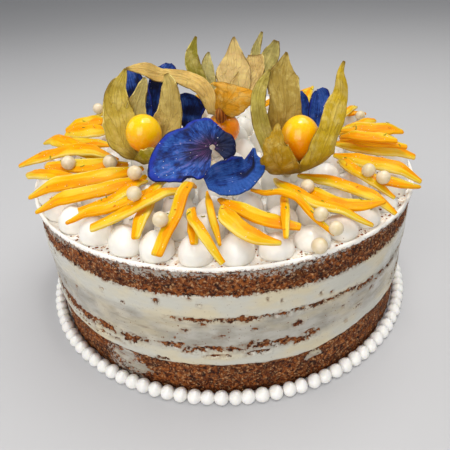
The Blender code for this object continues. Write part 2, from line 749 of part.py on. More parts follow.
def blade_grid(field, stations, cup, ripple, rows, columns, hub=None):
    """A leaf-like grid along its stations, cupped and rippled, that turns its face to hub."""
    marks = np.linspace(0, 1, len(stations))
    centres = np.array([s[0] for s in stations], float)
    widths = np.array([s[1] for s in stations], float)
    s = np.linspace(0, 1, rows)
    line = np.stack([np.interp(s, marks, centres[:, k]) for k in range(3)], axis=1)
    half = np.interp(s, marks, widths)
    smooth = line.copy()
    smooth[1:-1] = 0.25 * line[:-2] + 0.5 * line[1:-1] + 0.25 * line[2:]
    ahead = np.gradient(smooth, axis=0)
    grid = np.empty((rows, columns, 3))
    for r in range(rows):
        tangent = unit(ahead[r])
        facing = FACING_SIDE if hub is None else facing_of(smooth[r], hub, cup)
        normal = unit(facing - np.dot(facing, tangent) * tangent)
        side = np.cross(tangent, normal)
        turned = max(float(np.dot(normal, FACING_SIDE)), 0.7)
        for c in range(columns):
            u = 2.0 * c / (columns - 1) - 1.0
            wave = ripple * abs(u) * math.sin(7.0 * s[r] + 2.0 * u)
            lift = cup * half[r] * (u * u - 0.3) + wave * min(half[r] / 4.0, 1.0)
            point = smooth[r] + side * half[r] * u / turned + normal * lift
            point = outside_berries(point, 0.95)
            grid[r, c] = above_field(field, point, 0.9)
    return grid


def egg_body(middle, half_width, half_height, sides, levels):
    """A round body, wider or taller, as rings between its foot and its crown."""
    rings = []
    for level in range(1, levels + 1):
        tilt = math.pi * level / (levels + 1)
        size = half_width * math.sin(tilt)
        z = middle[2] - half_height * math.cos(tilt)
        turns = [2 * math.pi * i / sides for i in range(sides)]
        rings.append([(middle[0] + size * math.cos(t), middle[1] + size * math.sin(t), z) for t in turns])
    foot = (middle[0], middle[1], middle[2] - half_height)
    crown = (middle[0], middle[1], middle[2] + half_height)
    return stacked_rings(rings, foot, crown)


def build_husks(field, materials):
    for name, (heart, *lobes) in HUSKS.items():
        grids = []
        for stations in lobes:
            columns = 4 if max(s[1] for s in stations) > 4.5 else 3
            cup = bowl(stations, BERRIES[name][0])
            grids.append(blade_grid(field, stations, cup, 0.5, len(stations), columns, BERRIES[name][0]))
        points, faces = cup_and_lobes(heart, grids)
        material = materials["tan_husk" if name == "middle" else "husk"]
        husk = mesh_object("husk_" + name, points, faces, material)
        if name == "middle":
            points, faces = egg_body(*HUSK_KNOB, 8, 3)
            fuse(husk, [mesh_object("knob", points, faces, material)])


def build_berries(material):
    for name, (middle, half_width, half_height) in BERRIES.items():
        points, faces = egg_body(middle, half_width, half_height, 10, 5)
        mesh_object("berry_" + name, points, faces, material)


def large_petal_grid(field, rows, columns):
    """The large petal as rings round its claw, open at a slit; its right side bends away."""
    claw = np.array(LARGE_PETAL_CLAW)
    across = unit(np.array((1.0, 0.12, -0.02)))
    upward = unit(np.array((0.02, 0.66, 0.75)))
    outward = np.cross(across, upward)
    marks = np.linspace(0, 1, len(LARGE_PETAL_RADII))
    grid = np.empty((rows, columns, 3))
    for c in range(columns):
        s = c / (columns - 1)
        turn = math.radians(LARGE_PETAL_FIRST - LARGE_PETAL_TURN * s)
        reach = float(np.interp(s, marks, LARGE_PETAL_RADII))
        away = max(0.0, (s - 0.55) / 0.45)
        for r in range(rows):
            q = r / (rows - 1)
            radius = 1.3 + (reach - 1.3) * q
            ruffle = 0.9 * q**3 * math.sin(5 * turn)
            lift = 2.6 * q * q + ruffle + away * (2.0 * q - 4.5 * q * q)
            flat = claw + radius * (math.cos(turn) * across + math.sin(turn) * upward)
            point = outside_berries(flat + outward * lift, 0.95)
            grid[r, c] = above_field(field, point, 0.9)
    return grid


def build_petals(field, material):
    points, faces = sheet(large_petal_grid(field, 4, 17), PETAL_THICKNESS)
    mesh_object("petal_large", points, faces, material)
    for name, (cup, stations) in PETALS.items():
        grid = blade_grid(field, stations, cup, 0.7, len(stations), 5)
        points, faces = sheet(grid, PETAL_THICKNESS)
        mesh_object(name, points, faces, material)


def settle_pearl(field, x, y, radius):
    """The nearest place where a pearl sinks a little into one thing and clears all others."""
    tries = [(0.0, 0.0)]
    for reach in (0.8, 1.6, 2.4, 3.2, 4.0, 4.8, 5.6):
        tries += [(reach * math.cos(t), reach * math.sin(t)) for t in np.linspace(0, 2 * math.pi, 13)[:-1]]
    for dx, dy in tries:
        part, near = field.window(x + dx, y + dy, radius + 0.4)
        distance = np.hypot(field.x[part] - x - dx, field.y[part] - y - dy)[near]
        height, owner = field.z[part][near], field.owner[part][near]
        core = distance < 1.0
        under = int(owner[np.argmin(distance)])
        if under < 0 or (owner[core] != under).any():
            continue
        sunk = float(height[core].min()) + radius - PEARL_SINK
        others = owner != under
        belly = np.sqrt(np.maximum((radius + 0.4) ** 2 - distance**2, 0.0))
        lowest = PEARL_LOWEST if math.hypot(x, y) < RIM_PEARL_FROM else COAT_TOP
        if sunk < max(lowest, float((height + belly).max()) - PEARL_PRESS * radius):
            continue
        if not others.any() or sunk >= float((height + belly)[others].max()) + 0.1:
            return np.array((x + dx, y + dy, sunk)), under
    return None, -1


def main():
    for old in list(bpy.data.objects):
        bpy.data.objects.remove(old)
    materials = {name: plain_material(name) for name in MATERIALS}
    build_layers(materials)
    build_beads(materials["bead"])

    # cream top and the surface that the toppings rest on
    points, faces = coat_body()
    cream = mesh_object("top_cream", points, faces, materials["cream"])
    field = HeightField(115.0, 0.5)
    inside = np.hypot(field.x, field.y)
    field.z[inside < CAKE_RADIUS + 0.6] = COAT_TOP
    field.z[(inside < CAKE_RADIUS + 0.6) & (inside > LIP_INSIDE)] = LIP_TOP + 0.4
    field.owner[inside < CAKE_RADIUS + 0.6] = 0
    chance = random.Random(9)
    kisses = []
    for place in kiss_places():
        lean = (chance.uniform(-0.5, 0.5), chance.uniform(-0.5, 0.5))
        kisses.append(kiss_body(place, lean))
        field.heap_up(place[0], place[1], place[2] + 0.25, kiss_height(place), 0)

    # strips of peel, seen ones first, then the back by rule
    names = ["top_cream"]
    bodies = {}
    chance = random.Random(BACK_SEED)
    rows = list(PEELS)
    for i in range(BACK_ROWS):
        bearing = BACK_FIRST_BEARING + BACK_SPACING * i
        tip = chance.uniform(93, 103)
        width = chance.uniform(4.6, 6.4)
        bend = chance.uniform(-3, 3)
        peels = [(tip, bearing, tip - 40, bearing + 3, width, bend, chance.uniform(-8, 8), 0.4)]
        if i % 4 < 3:
            tip, width = chance.uniform(93, 103), chance.uniform(4.2, 5.4)
            peels.append((tip, bearing + 8, tip - 37, bearing - 7, width, -bend, chance.uniform(-8, 8), 0.4))
        rows.append(tuple(peels))
    for number, peels in enumerate(rows):
        name = f"peel_{number + 1:02d}"
        names.append(name)
        parts = [lay_peel(field, peel, len(names) - 1) for peel in peels]
        bodies[name] = parts

    # sugar pearls, each fused to what it lies on
    pearls = {name: [] for name in names}
    for radius_out, bearing, radius in PEARLS:
        x, y = bearing_point(radius_out, bearing)
        middle, under = settle_pearl(field, x, y, radius)
        if middle is None:
            continue
        pearls[names[under]].append(egg_body(middle, radius, radius, 6, 3))
        peak = float(middle[2]) + radius
        field.heap_up(middle[0], middle[1], radius + 0.2, lambda dx, dy: np.full(dx.shape, peak), PEARL_OWNER)

    points, faces = joined(kisses)
    cutters = [mesh_object("kisses", points, faces, materials["cream"])]
    for number, (points, faces) in enumerate(pearls["top_cream"]):
        cutters.append(mesh_object(f"pearl_{number}", points, faces, materials["cream"]))
    fuse(cream, cutters)
    for name, parts in bodies.items():
        made = [mesh_object(name, *parts[0], materials["peel"])]
        made += [mesh_object("more", *part, materials["peel"]) for part in parts[1:] + pearls[name]]
        if len(made) > 1:
            fuse(made[0], made[1:])

    build_berries(materials["berry"])
    build_husks(field, materials)
    build_petals(field, materials["petal"])


main()
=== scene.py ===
"""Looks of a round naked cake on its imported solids: crumb and scraped cream on the side,
piped kisses, strips of candied peel, sugar pearls, ground cherries in their husks, blue petals
and beads. Lengths are in millimetres until the meshes are made, and bearings are in degrees:
0 is the front of the cake, and they grow to the right."""

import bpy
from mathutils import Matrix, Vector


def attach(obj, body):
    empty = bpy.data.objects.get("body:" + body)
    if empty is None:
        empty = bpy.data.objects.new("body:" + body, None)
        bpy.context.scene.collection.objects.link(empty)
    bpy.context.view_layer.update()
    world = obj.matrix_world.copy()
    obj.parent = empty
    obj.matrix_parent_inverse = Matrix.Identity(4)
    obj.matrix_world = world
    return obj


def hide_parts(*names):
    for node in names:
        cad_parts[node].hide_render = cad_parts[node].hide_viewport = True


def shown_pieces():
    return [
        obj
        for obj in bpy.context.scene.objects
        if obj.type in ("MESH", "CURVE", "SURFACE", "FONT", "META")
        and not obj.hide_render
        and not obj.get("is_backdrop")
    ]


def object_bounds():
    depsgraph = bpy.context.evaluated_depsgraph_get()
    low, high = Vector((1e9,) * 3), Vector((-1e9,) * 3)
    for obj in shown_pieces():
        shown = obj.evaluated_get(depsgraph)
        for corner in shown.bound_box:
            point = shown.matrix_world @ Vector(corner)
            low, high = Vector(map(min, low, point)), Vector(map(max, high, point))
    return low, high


bl_info = {
    "name": "Naked Layer Cake",
    "version": (1, 0, 0),
    "blender": (4, 5, 0),
    "location": "3D View > Sidebar > Cake",
    "description": "Builds the visible pieces of a naked layer cake on its packed solids",
    "category": "Add Mesh",
}

import math
import random

import bmesh
import bpy
import numpy as np
from bpy.props import FloatProperty, FloatVectorProperty, IntProperty, PointerProperty
from bpy.types import Operator, Panel, PropertyGroup
from mathutils import Matrix, Vector
from mathutils.bvhtree import BVHTree

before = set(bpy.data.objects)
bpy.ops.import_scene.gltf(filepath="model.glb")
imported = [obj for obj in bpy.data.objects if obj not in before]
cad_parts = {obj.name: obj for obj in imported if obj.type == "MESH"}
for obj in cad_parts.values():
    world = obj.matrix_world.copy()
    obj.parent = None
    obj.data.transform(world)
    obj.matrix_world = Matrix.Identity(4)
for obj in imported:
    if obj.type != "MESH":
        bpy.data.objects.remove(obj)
CAD_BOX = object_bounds()

MM = 0.001

# Numbers shared with the solids. Layers from the foot up, each with its lowest and highest level
CAKE_RADIUS = 100.0
NODE_GAP = 0.3
LAYERS = (
    ("sponge_bottom", 0.0, 19.0),
    ("filling_lower", 19.0, 28.0),
    ("sponge_middle", 28.0, 46.5),
    ("filling_upper", 46.5, 58.5),
    ("sponge_top", 58.5, 70.2),
)
COAT_TOP = 71.3
LIP_TOP = 72.9
LIP_INSIDE = 98.7

# Kisses: rings with their radius, count and profile; the bearings between which the outer ones
# are lower, and by how much; profiles as shares of the radius with the share of the height there
KISS_RINGS = (
    (91.0, 37, "full"),
    (75.5, 30, "plain"),
    (60.0, 23, "plain"),
    (44.5, 17, "plain"),
    (29.0, 10, "plain"),
    (13.0, 4, "plain"),
)
KISS_RADIUS = 7.25
KISS_HEIGHT = 11.3
KISS_MARGIN = 0.25
LOW_KISSES = (6.0, 76.0, 2.6)
KISS_PLACES_SEED = 5
KISS_LEAN_SEED = 9
KISS_PROFILES = {
    "full": ((0.97, 0.0), (0.94, 0.42), (0.45, 0.86)),
    "plain": ((0.96, 0.0), (0.76, 0.66)),
}

# Beads: a ring of domes a little wider than the ring's spacing, so that neighbours touch
BEAD_COUNT = 104
BEAD_CENTRE = 103.2
BEAD_RADIUS = 3.42
BEAD_HEIGHT = 6.2725
BEAD_SEED = 8

# Strips of peel: tip radius and bearing, inner radius and bearing, width, sideways bend,
# roll in degrees, how much of the width is left at the tip, and for one how far the tip is
# lifted. Those at the front bend most over the rim.
PEEL_THICKNESS = 2.2
PEEL_SINK = 1.3
PEEL_CLEAR = 0.35
PEEL_SAG_FRONT = 0.012
PEEL_SAG_SHARE = 0.15
DROOP_FROM = 93.0
DROOP_HEIGHT = 81.5
DROOP_SLOPE = 0.45
PEELS = (
    (100.1, -109, 86.3, -123.7, 9.4, 4.3, 26, 0.4),
    (93.3, -102.9, 69.7, -111.2, 10.2, 4.3, 26, 0.5),
    (91.3, -96.9, 60, -93.4, 6.7, 2.8, 20, 0.4),
    (102, -97, 56.8, -70.9, 8.2, 3.2, 30, 0.3),
    (108.6, -83.8, 58.8, -69.2, 8, -1.4, 26, 0.25),
    (91.8, -75.5, 53.4, -63.3, 8.7, 5.6, 28, 0.45),
    (103, -79.1, 74.9, -59.7, 6.2, 7.2, 28, 0.3),
    (102.2, -62.7, 49.5, -52.9, 8.6, 7.4, 30, 0.25),
    (102.9, -54, 53.5, -43.5, 7.5, 7.8, 28, 0.25),
    (92.6, -41.6, 57.1, -38.6, 5.5, 4.3, 14, 0.6),
    (98.9, -41.8, 62.5, -33.3, 5.2, 8.1, 14, 0.3),
    (97, -21, 53, -31, 6.9, -1, -14, 0.5),
    (97.1, -33.8, 51.5, -18.7, 5.6, 10.3, 14, 0.8),
    (102, -15, 54, -14, 5.7, 1, 4, 0.8),
    (97, -7.3, 77.5, -9.6, 5, -0.1, 4, 0.6),
    (103.9, -1.1, 75.1, -9.7, 4.3, -4.9, -6, 0.6),
    (97.1, -1.7, 58.5, -7.6, 3.4, -0.6, -6, 0.4),
    (93.8, 17.4, 64.4, -2.3, 7.7, -4.3, -8, 0.45),
    (98.1, 11.6, 76.6, -0.8, 7.6, -7.8, -12, 0.25),
    (99.3, 12.4, 64.6, 23.8, 3.8, -0.3, -8, 0.55),
    (101, 141, 70, 142, 8.2, 1, 0, 0.4, 7),
    (92.8, 102.9, 64.5, 92.5, 6.4, -1.1, -26, 0.45),
    (99.1, 89.6, 65.1, 91.1, 9, -1.7, -26, 0.3),
    (99.3, 72.6, 60, 80.3, 8, -3.8, -26, 0.45),
    (94.5, 71.2, 62.7, 76.4, 5.4, -2.8, -24, 0.5),
    (89.4, 69.3, 62.5, 72.7, 6.4, -2.5, -24, 0.45),
    (103.2, 60.9, 61.1, 65.4, 7.9, -3.5, -26, 0.3),
    (103.4, 58.5, 70.3, 55.4, 6, -11, -22, 0.3),
    (98.4, 46.9, 65.6, 57.3, 5.4, -6.3, -22, 0.3),
    (103.3, 42.3, 57.1, 36.8, 6.3, -0.5, -20, 0.3),
    (99.3, 40.5, 66, 32.2, 7.3, -10, -14, 0.25),
    (102.2, 34.2, 53.5, 25.8, 6.1, -11.8, -8, 0.35),
    (100.1, 24.1, 60, 11, 3.6, -1.1, -6, 0.4),
)
BACK_FIRST_BEARING = 112.0
BACK_SPACING = 19.5
BACK_ROWS = 7
BACK_SEED = 25

# Sugar pearls: distance from the middle of the cake, bearing and radius
PEARL_OWNER = -2
PEARL_SINK = 0.6
PEARL_PRESS = 0.9
PEARL_LOWEST = 79.0
RIM_PEARL_FROM = 94.0
PEARLS = (
    (80.8, -68, 3.4), (62.4, -61.7, 3.4), (64.1, -39.1, 3.3), (82, -26, 3), (90.5, -16, 3.1),
    (93.8, 23, 2.8), (100.2, 24.2, 2.8), (99.5, 20.5, 3.2), (85.9, 45.8, 2.9), (91.2, 45.7, 2.9),
    (88.8, 78.6, 3), (89, 109, 2.9), (49, 40, 3), (31, -4, 3.1), (94, -124, 3.4),
    (73, 27, 3), (80, 128, 3.1), (92, 166, 3.1), (70, 196, 3.2), (86, 222, 3.1),
    (40, 150, 3.2),
)

# Ground cherries: middle, half width and half height
BERRIES = {
    "left": ((-36.6, -29.5, 100.3), 8.4, 9.2),
    "right": ((34.0, -46.5, 101.0), 8.6, 10.1),
    "middle": ((1.1, -6.0, 92.2), 8.6, 8.7),
}

# Husks: the middle of the cup that the lobes spring from, then the lobes in turn round it, each
# as points along its middle, x, y, z and its half width there. A shape is how far rims wave,
# how high ribs stand and how crumpled the leaf is.
HUSK_THICKNESS = 0.8
CUP_THICKNESS = 3.2
HUSK_CUP = 0.28
LOBE_SHAPE = (0.5, 0.22, 0.65)
HUSKS = {
    "left": (
        (-38.6, -30.2, 86.2),
        ((-36, -33.6, 87.8, 3.2), (-33.6, -37.8, 90.2, 4.6), (-30.8, -41, 92, 4.2),
         (-28.6, -43, 92.6, 1.2)),
        ((-35, -27.6, 88.4, 3.5), (-30, -24.4, 93, 5.6), (-26.4, -22.4, 100, 7.0),
         (-24.1, -20.4, 106.6, 6.0), (-23.4, -18, 113, 4.8), (-23.7, -15, 118.6, 3.6),
         (-25.1, -12, 123.1, 0.9)),
        ((-40.5, -26, 88.4, 3.0), (-42, -19.6, 97, 4.6), (-41.1, -16.4, 108, 4.4),
         (-38.4, -14.4, 114.5, 2.8), (-36.3, -13, 119.1, 1.9), (-35.5, -12, 122, 0.5)),
        ((-43, -30, 88.4, 3.6), (-46.5, -28, 92, 5.6), (-48.6, -25, 97.5, 7.0),
         (-48.7, -21.6, 104, 7.6), (-49.6, -18.6, 111, 6.4), (-48.9, -15, 117.5, 4.4),
         (-46.3, -12, 122.2, 2.1), (-44.2, -10, 126.1, 0.5)),
    ),
    "right": (
        (34.5, -48.0, 86.2),
        ((39.4, -54, 88, 3.6), (41.1, -57, 92.3, 5.2), (41.4, -58, 97, 5.8),
         (42.3, -57, 101.6, 5.4), (44.7, -54.5, 106, 4.7), (46.7, -51, 110.1, 5.1),
         (48.9, -47, 114, 4.8), (51.5, -42.5, 117.9, 3.2), (52.1, -38.5, 122.1, 2.4),
         (52.4, -35, 125.9, 1.3), (54.4, -32, 129.2, 0.4)),
        ((34, -43.8, 88.4, 3.4), (31.5, -38, 92.5, 5.6), (29.8, -35.8, 99, 7.2),
         (28.6, -35.2, 107, 7.6), (28.9, -31, 115.7, 7.4), (28.6, -26, 122, 6.4),
         (29.8, -22, 126.7, 3.2), (31.2, -19, 131.6, 0.5)),
        ((30.8, -46, 88.2, 2.6), (24.5, -44, 92, 3.2), (20.6, -43, 98, 3.6),
         (17.6, -41, 106.2, 3.6), (16.5, -38, 114, 3.2), (17.8, -33, 119.1, 2.8),
         (20.5, -29, 123.1, 1.8), (22.9, -27, 126, 0.5)),
        ((27.6, -54.5, 87.4, 3), (24.9, -57.5, 90.7, 5.2), (23.2, -59.4, 95.1, 5.5),
         (22.1, -59.9, 99.9, 5.0), (21.5, -58.5, 103, 4.9), (22.2, -57, 106, 3),
         (22.8, -55, 108.4, 1.6), (23.4, -52.5, 110.5, 0.4)),
    ),
    "middle": (
        (0.3, -12.4, 102.0),
        ((-4.2, -11.2, 104, 2.2), (-5.6, -4, 109, 3.9), (-10.4, 1, 114, 4.4),
         (-17.3, 3, 117, 4.4), (-24.7, 2, 118.9, 3.6), (-31, 0.5, 120.6, 3.3),
         (-37.9, -3, 124, 2.6), (-45.1, -5, 124.8, 0.5)),
        ((0, -14.2, 101.8, 1.4), (0.5, -16.2, 104.9, 3.1), (2.1, -17.6, 107.8, 5.2),
         (4.3, -18.2, 110.9, 8.1), (6.2, -17.5, 113.3, 10), (7.5, -15.8, 115.2, 10.5),
         (8, -14.4, 116, 10.1)),
        ((4.8, -10, 102.8, 2.0), (11.6, 2, 104.6, 3.2), (19.4, 13, 108.8, 4.0),
         (25.2, 19.5, 115.5, 4.6), (29.4, 23.5, 122.4, 4.4), (32.4, 26, 128.8, 1.4)),
        ((3.9, -8.6, 101.8, 2.0), (7.4, -1, 104.8, 4.2), (12.4, 9, 108.4, 6.2),
         (17, 15, 114, 6.8), (19.6, 19.4, 119, 5.8), (20.3, 22, 122.6, 3.8)),
        ((2.3, -7.6, 101.4, 1.8), (5.6, 4, 104, 2.4), (14, 19.5, 110.6, 2.8), (20, 26, 119, 2.6),
         (22, 28.5, 126, 2.0), (25, 30, 133, 0.5)),
        ((0.1, -7.4, 101.6, 2.0), (1.6, -2, 103.6, 4.6), (4, 4.6, 106, 7.2), (7.5, 10, 111, 9.0),
         (8.4, 15, 117, 8.6), (8.8, 20, 123.1, 5.2), (9.2, 25, 131.9, 0.5)),
        ((-2, -7.8, 101.6, 1.8), (-3.6, 3.6, 105, 3.0), (-4.6, 11, 110.4, 3.6),
         (-6, 16, 119, 3.2), (-4.7, 20, 125.8, 0.6)),
        ((-3.7, -9, 102, 1.9), (-6.4, 1, 106, 2.8), (-9.4, 9, 112, 3.6), (-13, 15, 119.5, 4.0),
         (-13.8, 19, 125.5, 3.2), (-11, 24, 133.2, 0.5)),
    ),
}

# Knob under the middle husk: middle, half width and half height
HUSK_KNOB = ((0.0, -16.0, 102.8), 2.8, 4.0)

# Small petals: how far each is cupped, and points along its middle, x, y, z and half width
PETAL_THICKNESS = 0.7
PETAL_SHAPE = (0.7, 0.1, 0.5)
PETALS = {
    "petal_cup": (
        0.55,
        ((-7.6, -64, 89.7, 2.4), (-4.4, -63.2, 90.5, 6.0), (0.2, -62, 90.7, 7.4),
         (4.7, -60.8, 91, 7.3), (8.8, -58.8, 91.6, 6.6), (12.3, -56, 93.3, 4.6),
         (12.9, -52, 96.1, 1.7), (13.6, -48.6, 98.2, 0.5)),
    ),
    "petal_back_left": (
        0.25,
        ((-37.5, -11.5, 95, 1.6), (-40.5, -8.8, 103, 6.4), (-42.5, -4.6, 112, 7.6),
         (-44.5, 1, 120, 4.4), (-45.6, 3.2, 122.4, 0.8)),
    ),
    "petal_back_tall": (
        0.3,
        ((-31.5, -9, 92, 1.8), (-31.4, -5, 101, 6.0), (-29.8, 1, 110.5, 7.6), (-27, 8, 119, 6.0),
         (-25.6, 11.4, 122.8, 1.6)),
    ),
    "petal_back_middle": (
        0.35,
        ((-16.6, -2.6, 90, 1.4), (-16.4, -1.2, 97, 5.6), (-14.8, 0.6, 104, 6.6),
         (-13.4, -1, 109, 3.2)),
    ),
    "petal_side_low": (
        0.3,
        ((37.5, -25, 92, 1.4), (38.6, -20, 99, 4.2), (39.6, -14, 106, 4.0), (39.8, -10, 111, 1.0)),
    ),
    "petal_side_high": (
        0.4,
        ((46.8, -27, 90, 1.6), (47.2, -22.5, 97, 4.8), (48.6, -18, 104.5, 5.6),
         (49.2, -13.5, 110.5, 3.6), (48.8, -12, 112.4, 1.0)),
    ),
}

# The large petal, spread round its claw: its radii in turn round it, the turn in its own plane
# where they start and how far round they go
LARGE_PETAL_CLAW = (-4.5, -44.5, 98.0)
LARGE_PETAL_RADII = (
    13, 17.2, 22.4, 30, 26.8, 22, 16.2, 15.4, 13.8, 11, 9.3, 9, 9.5, 10.2, 10.6, 10.2, 8,
)
LARGE_PETAL_FIRST = 262.0
LARGE_PETAL_TURN = 312.0
LARGE_PETAL_INSIDE = 1.3

# The direction that lobes and petals turn their faces to, and how far they stay clear of
# berries and of what lies below
FACING_SIDE = np.array((0.0, -0.846, 0.533))
BERRY_CLEAR = 0.95
LEAF_CLEAR = 0.9
LEAF_REACH = 1.2

# Camera: place in metres, turns in radians and lens
CAMERA_PLACE = (-0.0008, -0.2315, 0.1745)
CAMERA_PITCH = 0.562
CAMERA_YAW = 0.001
CAMERA_ROLL = -0.05
CAMERA_LENS = 35.72


# The surface that things are laid on
def bearing_point(radius, bearing):
    """A point at a distance from the middle of the cake, seen from above."""
    turn = math.radians(bearing)
    return np.array((radius * math.sin(turn), -radius * math.cos(turn)))


def unit(vector):
    return vector / max(np.linalg.norm(vector), 1e-9)


class HeightField:
    """The upper surface of all that has been laid so far, on a square grid seen from above."""

    def __init__(self, half, cell):
        self.half = half
        self.cell = cell
        line = np.arange(-half, half + cell, cell)
        self.x, self.y = np.meshgrid(line, line, indexing="ij")
        self.z = np.zeros_like(self.x)
        self.owner = np.full(self.x.shape, -1)

    def window(self, x, y, reach):
        """The cells within reach of a point: their slice and which of them are near enough."""
        low = [max(int((v - reach + self.half) / self.cell), 0) for v in (x, y)]
        high = [int((v + reach + self.half) / self.cell) + 2 for v in (x, y)]
        part = (slice(low[0], high[0]), slice(low[1], high[1]))
        near = (self.x[part] - x) ** 2 + (self.y[part] - y) ** 2 <= reach**2
        return part, near

    def highest(self, x, y, reach):
        part, near = self.window(x, y, reach)
        return float(self.z[part][near].max()) if near.any() else 0.0

    def rest_height(self, x, y, reach, own):
        """How low a strip may lie: clear of all else, but pressed into what is its own."""
        part, near = self.window(x, y, reach)
        step = np.where(self.owner[part] == own, -PEEL_SINK, NODE_GAP)
        return float((self.z[part] + step)[near].max())

    def heap_up(self, x, y, reach, surface, owner):
        """Raises the cells within reach to surface(offsets from the point)."""
        part, near = self.window(x, y, reach)
        fresh = np.where(near, surface(self.x[part] - x, self.y[part] - y), 0.0)
        higher = fresh > self.z[part]
        self.z[part][higher] = fresh[higher]
        self.owner[part][higher] = owner


# Uneven values for forms, from a block of random numbers
LATTICE_SIDE = 32
LATTICE = np.random.default_rng(11).random((LATTICE_SIDE,) * 3) * 2 - 1


def grain(points, size, octaves=1, seed=0):
    """Smooth uneven values between about -1 and 1, with bumps about size across."""
    points = np.asarray(points, float)
    total = np.zeros(len(points))
    reached, weight = 0.0, 1.0
    for octave in range(octaves):
        spot = points / size * 2.0**octave + 7.31 * seed + 3.7 * octave
        cell = np.floor(spot).astype(int)
        part = spot - cell
        part = part * part * (3 - 2 * part)
        low, high = cell % LATTICE_SIDE, (cell + 1) % LATTICE_SIDE
        value = 0.0
        for i in (0, 1):
            for j in (0, 1):
                for k in (0, 1):
                    share = np.ones(len(points))
                    pick = []
                    for axis, far in enumerate((i, j, k)):
                        share = share * (part[:, axis] if far else 1 - part[:, axis])
                        pick.append(high[:, axis] if far else low[:, axis])
                    value = value + share * LATTICE[pick[0], pick[1], pick[2]]
        total += weight * value
        reached += weight
        weight *= 0.5
    return total / reached


def eased(value, low, high):
    """0 below low, 1 above high and a smooth rise between."""
    t = np.clip((np.asarray(value, float) - low) / (high - low), 0.0, 1.0)
    return t * t * (3 - 2 * t)


def run_along(line):
    """How far each point of a line is along it."""
    return np.concatenate(([0.0], np.cumsum(np.linalg.norm(np.diff(line, axis=0), axis=1))))


def smooth_line(points, count):
    """A smooth line of count points through the given ones."""
    points = np.asarray(points, float)
    last = len(points) - 1
    made = []
    for t in np.linspace(0, last, count):
        i = min(int(t), last - 1)
        u = t - i
        before, after = points[max(i - 1, 0)], points[min(i + 2, last)]
        a, b = points[i], points[i + 1]
        slope_a, slope_b = (b - before) / 2, (after - a) / 2
        made.append(
            (2 * u**3 - 3 * u**2 + 1) * a
            + (u**3 - 2 * u**2 + u) * slope_a
            + (3 * u**2 - 2 * u**3) * b
            + (u**3 - u**2) * slope_b
        )
    return np.array(made)


# Meshes
def piece(name, points, faces, material, facts=None, nodes=(), slot=None):
    """One smooth piece of the cake. facts are values kept at the points, by name."""
    mesh = bpy.data.meshes.new(name)
    points = np.asarray(points, float) * MM
    mesh.from_pydata(points.tolist(), [], [tuple(int(i) for i in face) for face in faces])
    mesh.validate()
    mesh.update()
    mesh.shade_smooth()
    for fact, values in (facts or {}).items():
        values = np.asarray(values, np.float32)
        kind = {1: "FLOAT", 2: "FLOAT_VECTOR"}[values.ndim]
        store = mesh.attributes.new(fact, kind, "POINT")
        store.data.foreach_set("value" if kind == "FLOAT" else "vector", values.ravel())
    made = bpy.data.objects.new(name, mesh)
    made.data.materials.append(material)
    bpy.context.scene.collection.objects.link(made)
    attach(made, "root")
    if nodes:
        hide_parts(*nodes)
    return made


def ring_faces(rows, sides, first=0):
    """The quads between rows of points that close round."""
    i = np.arange(sides)
    j = (i + 1) % sides
    faces = []
    for level in range(rows - 1):
        low = first + level * sides
        faces += np.stack((low + i, low + j, low + sides + j, low + sides + i), axis=1).tolist()
    return faces


def closed_rings(rings, foot, crown):
    """A closed body of rings of equal count, ending in a point at both ends."""
    rows, sides = rings.shape[:2]
    points = np.concatenate((rings.reshape(-1, 3), [foot, crown]))
    faces = ring_faces(rows, sides)
    low, high = rows * sides, rows * sides + 1
    top = (rows - 1) * sides
    for i in range(sides):
        j = (i + 1) % sides
        faces.append((j, i, low))
        faces.append((top + i, top + j, high))
    return points, faces


def joined(bodies):
    """Several separate bodies, with their facts, as one."""
    points, faces, facts = [], [], {}
    first = 0
    for body in bodies:
        points.append(np.asarray(body[0], float))
        faces += [tuple(first + int(i) for i in face) for face in body[1]]
        first += len(body[0])
        for name, values in (body[2] if len(body) > 2 else {}).items():
            facts.setdefault(name, []).append(np.asarray(values, float))
    return np.concatenate(points), faces, {n: np.concatenate(v) for n, v in facts.items()}


# Side of the cake, where cream lies over the sponge: streaks and spots of bare sponge, and
# smears of cream on it, each with its bearing, half width in degrees, level and half height in mm
BARE_STREAKS = (
    (-9, 5, 45.9, 0.7), (-2.5, 2.5, 46.3, 0.5), (3, 6, 45.6, 0.9), (11, 6, 45.9, 0.9),
    (20, 7, 46.2, 0.8), (29, 5, 46.4, 0.7), (38, 5, 44.8, 1.1), (46, 5, 43.2, 0.9),
    (-27.8, 2.6, 27.8, 1.9), (-36, 4, 29.0, 1.6), (-44, 6, 27.6, 2.1), (-53, 6, 28.0, 2.6),
    (-64, 8, 28.4, 2.6), (-76, 8, 29.5, 2.2), (-15, 3, 30.2, 1.0), (-9, 3.5, 28.9, 1.3),
    (-4, 2.2, 29.3, 1.0), (1, 3, 29.2, 1.0), (7, 3.5, 30.4, 1.5), (12, 3, 29.6, 1.4),
    (17, 2.6, 28.6, 1.2), (20, 1.8, 30.2, 1.1), (6, 2.5, 26.0, 0.8), (-23.5, 1.5, 29.0, 0.9),
    (-36, 5, 24.0, 0.7), (-46, 5, 22.6, 0.8), (-19, 2.0, 20.6, 0.8), (-4, 2.5, 25.6, 0.7),
)
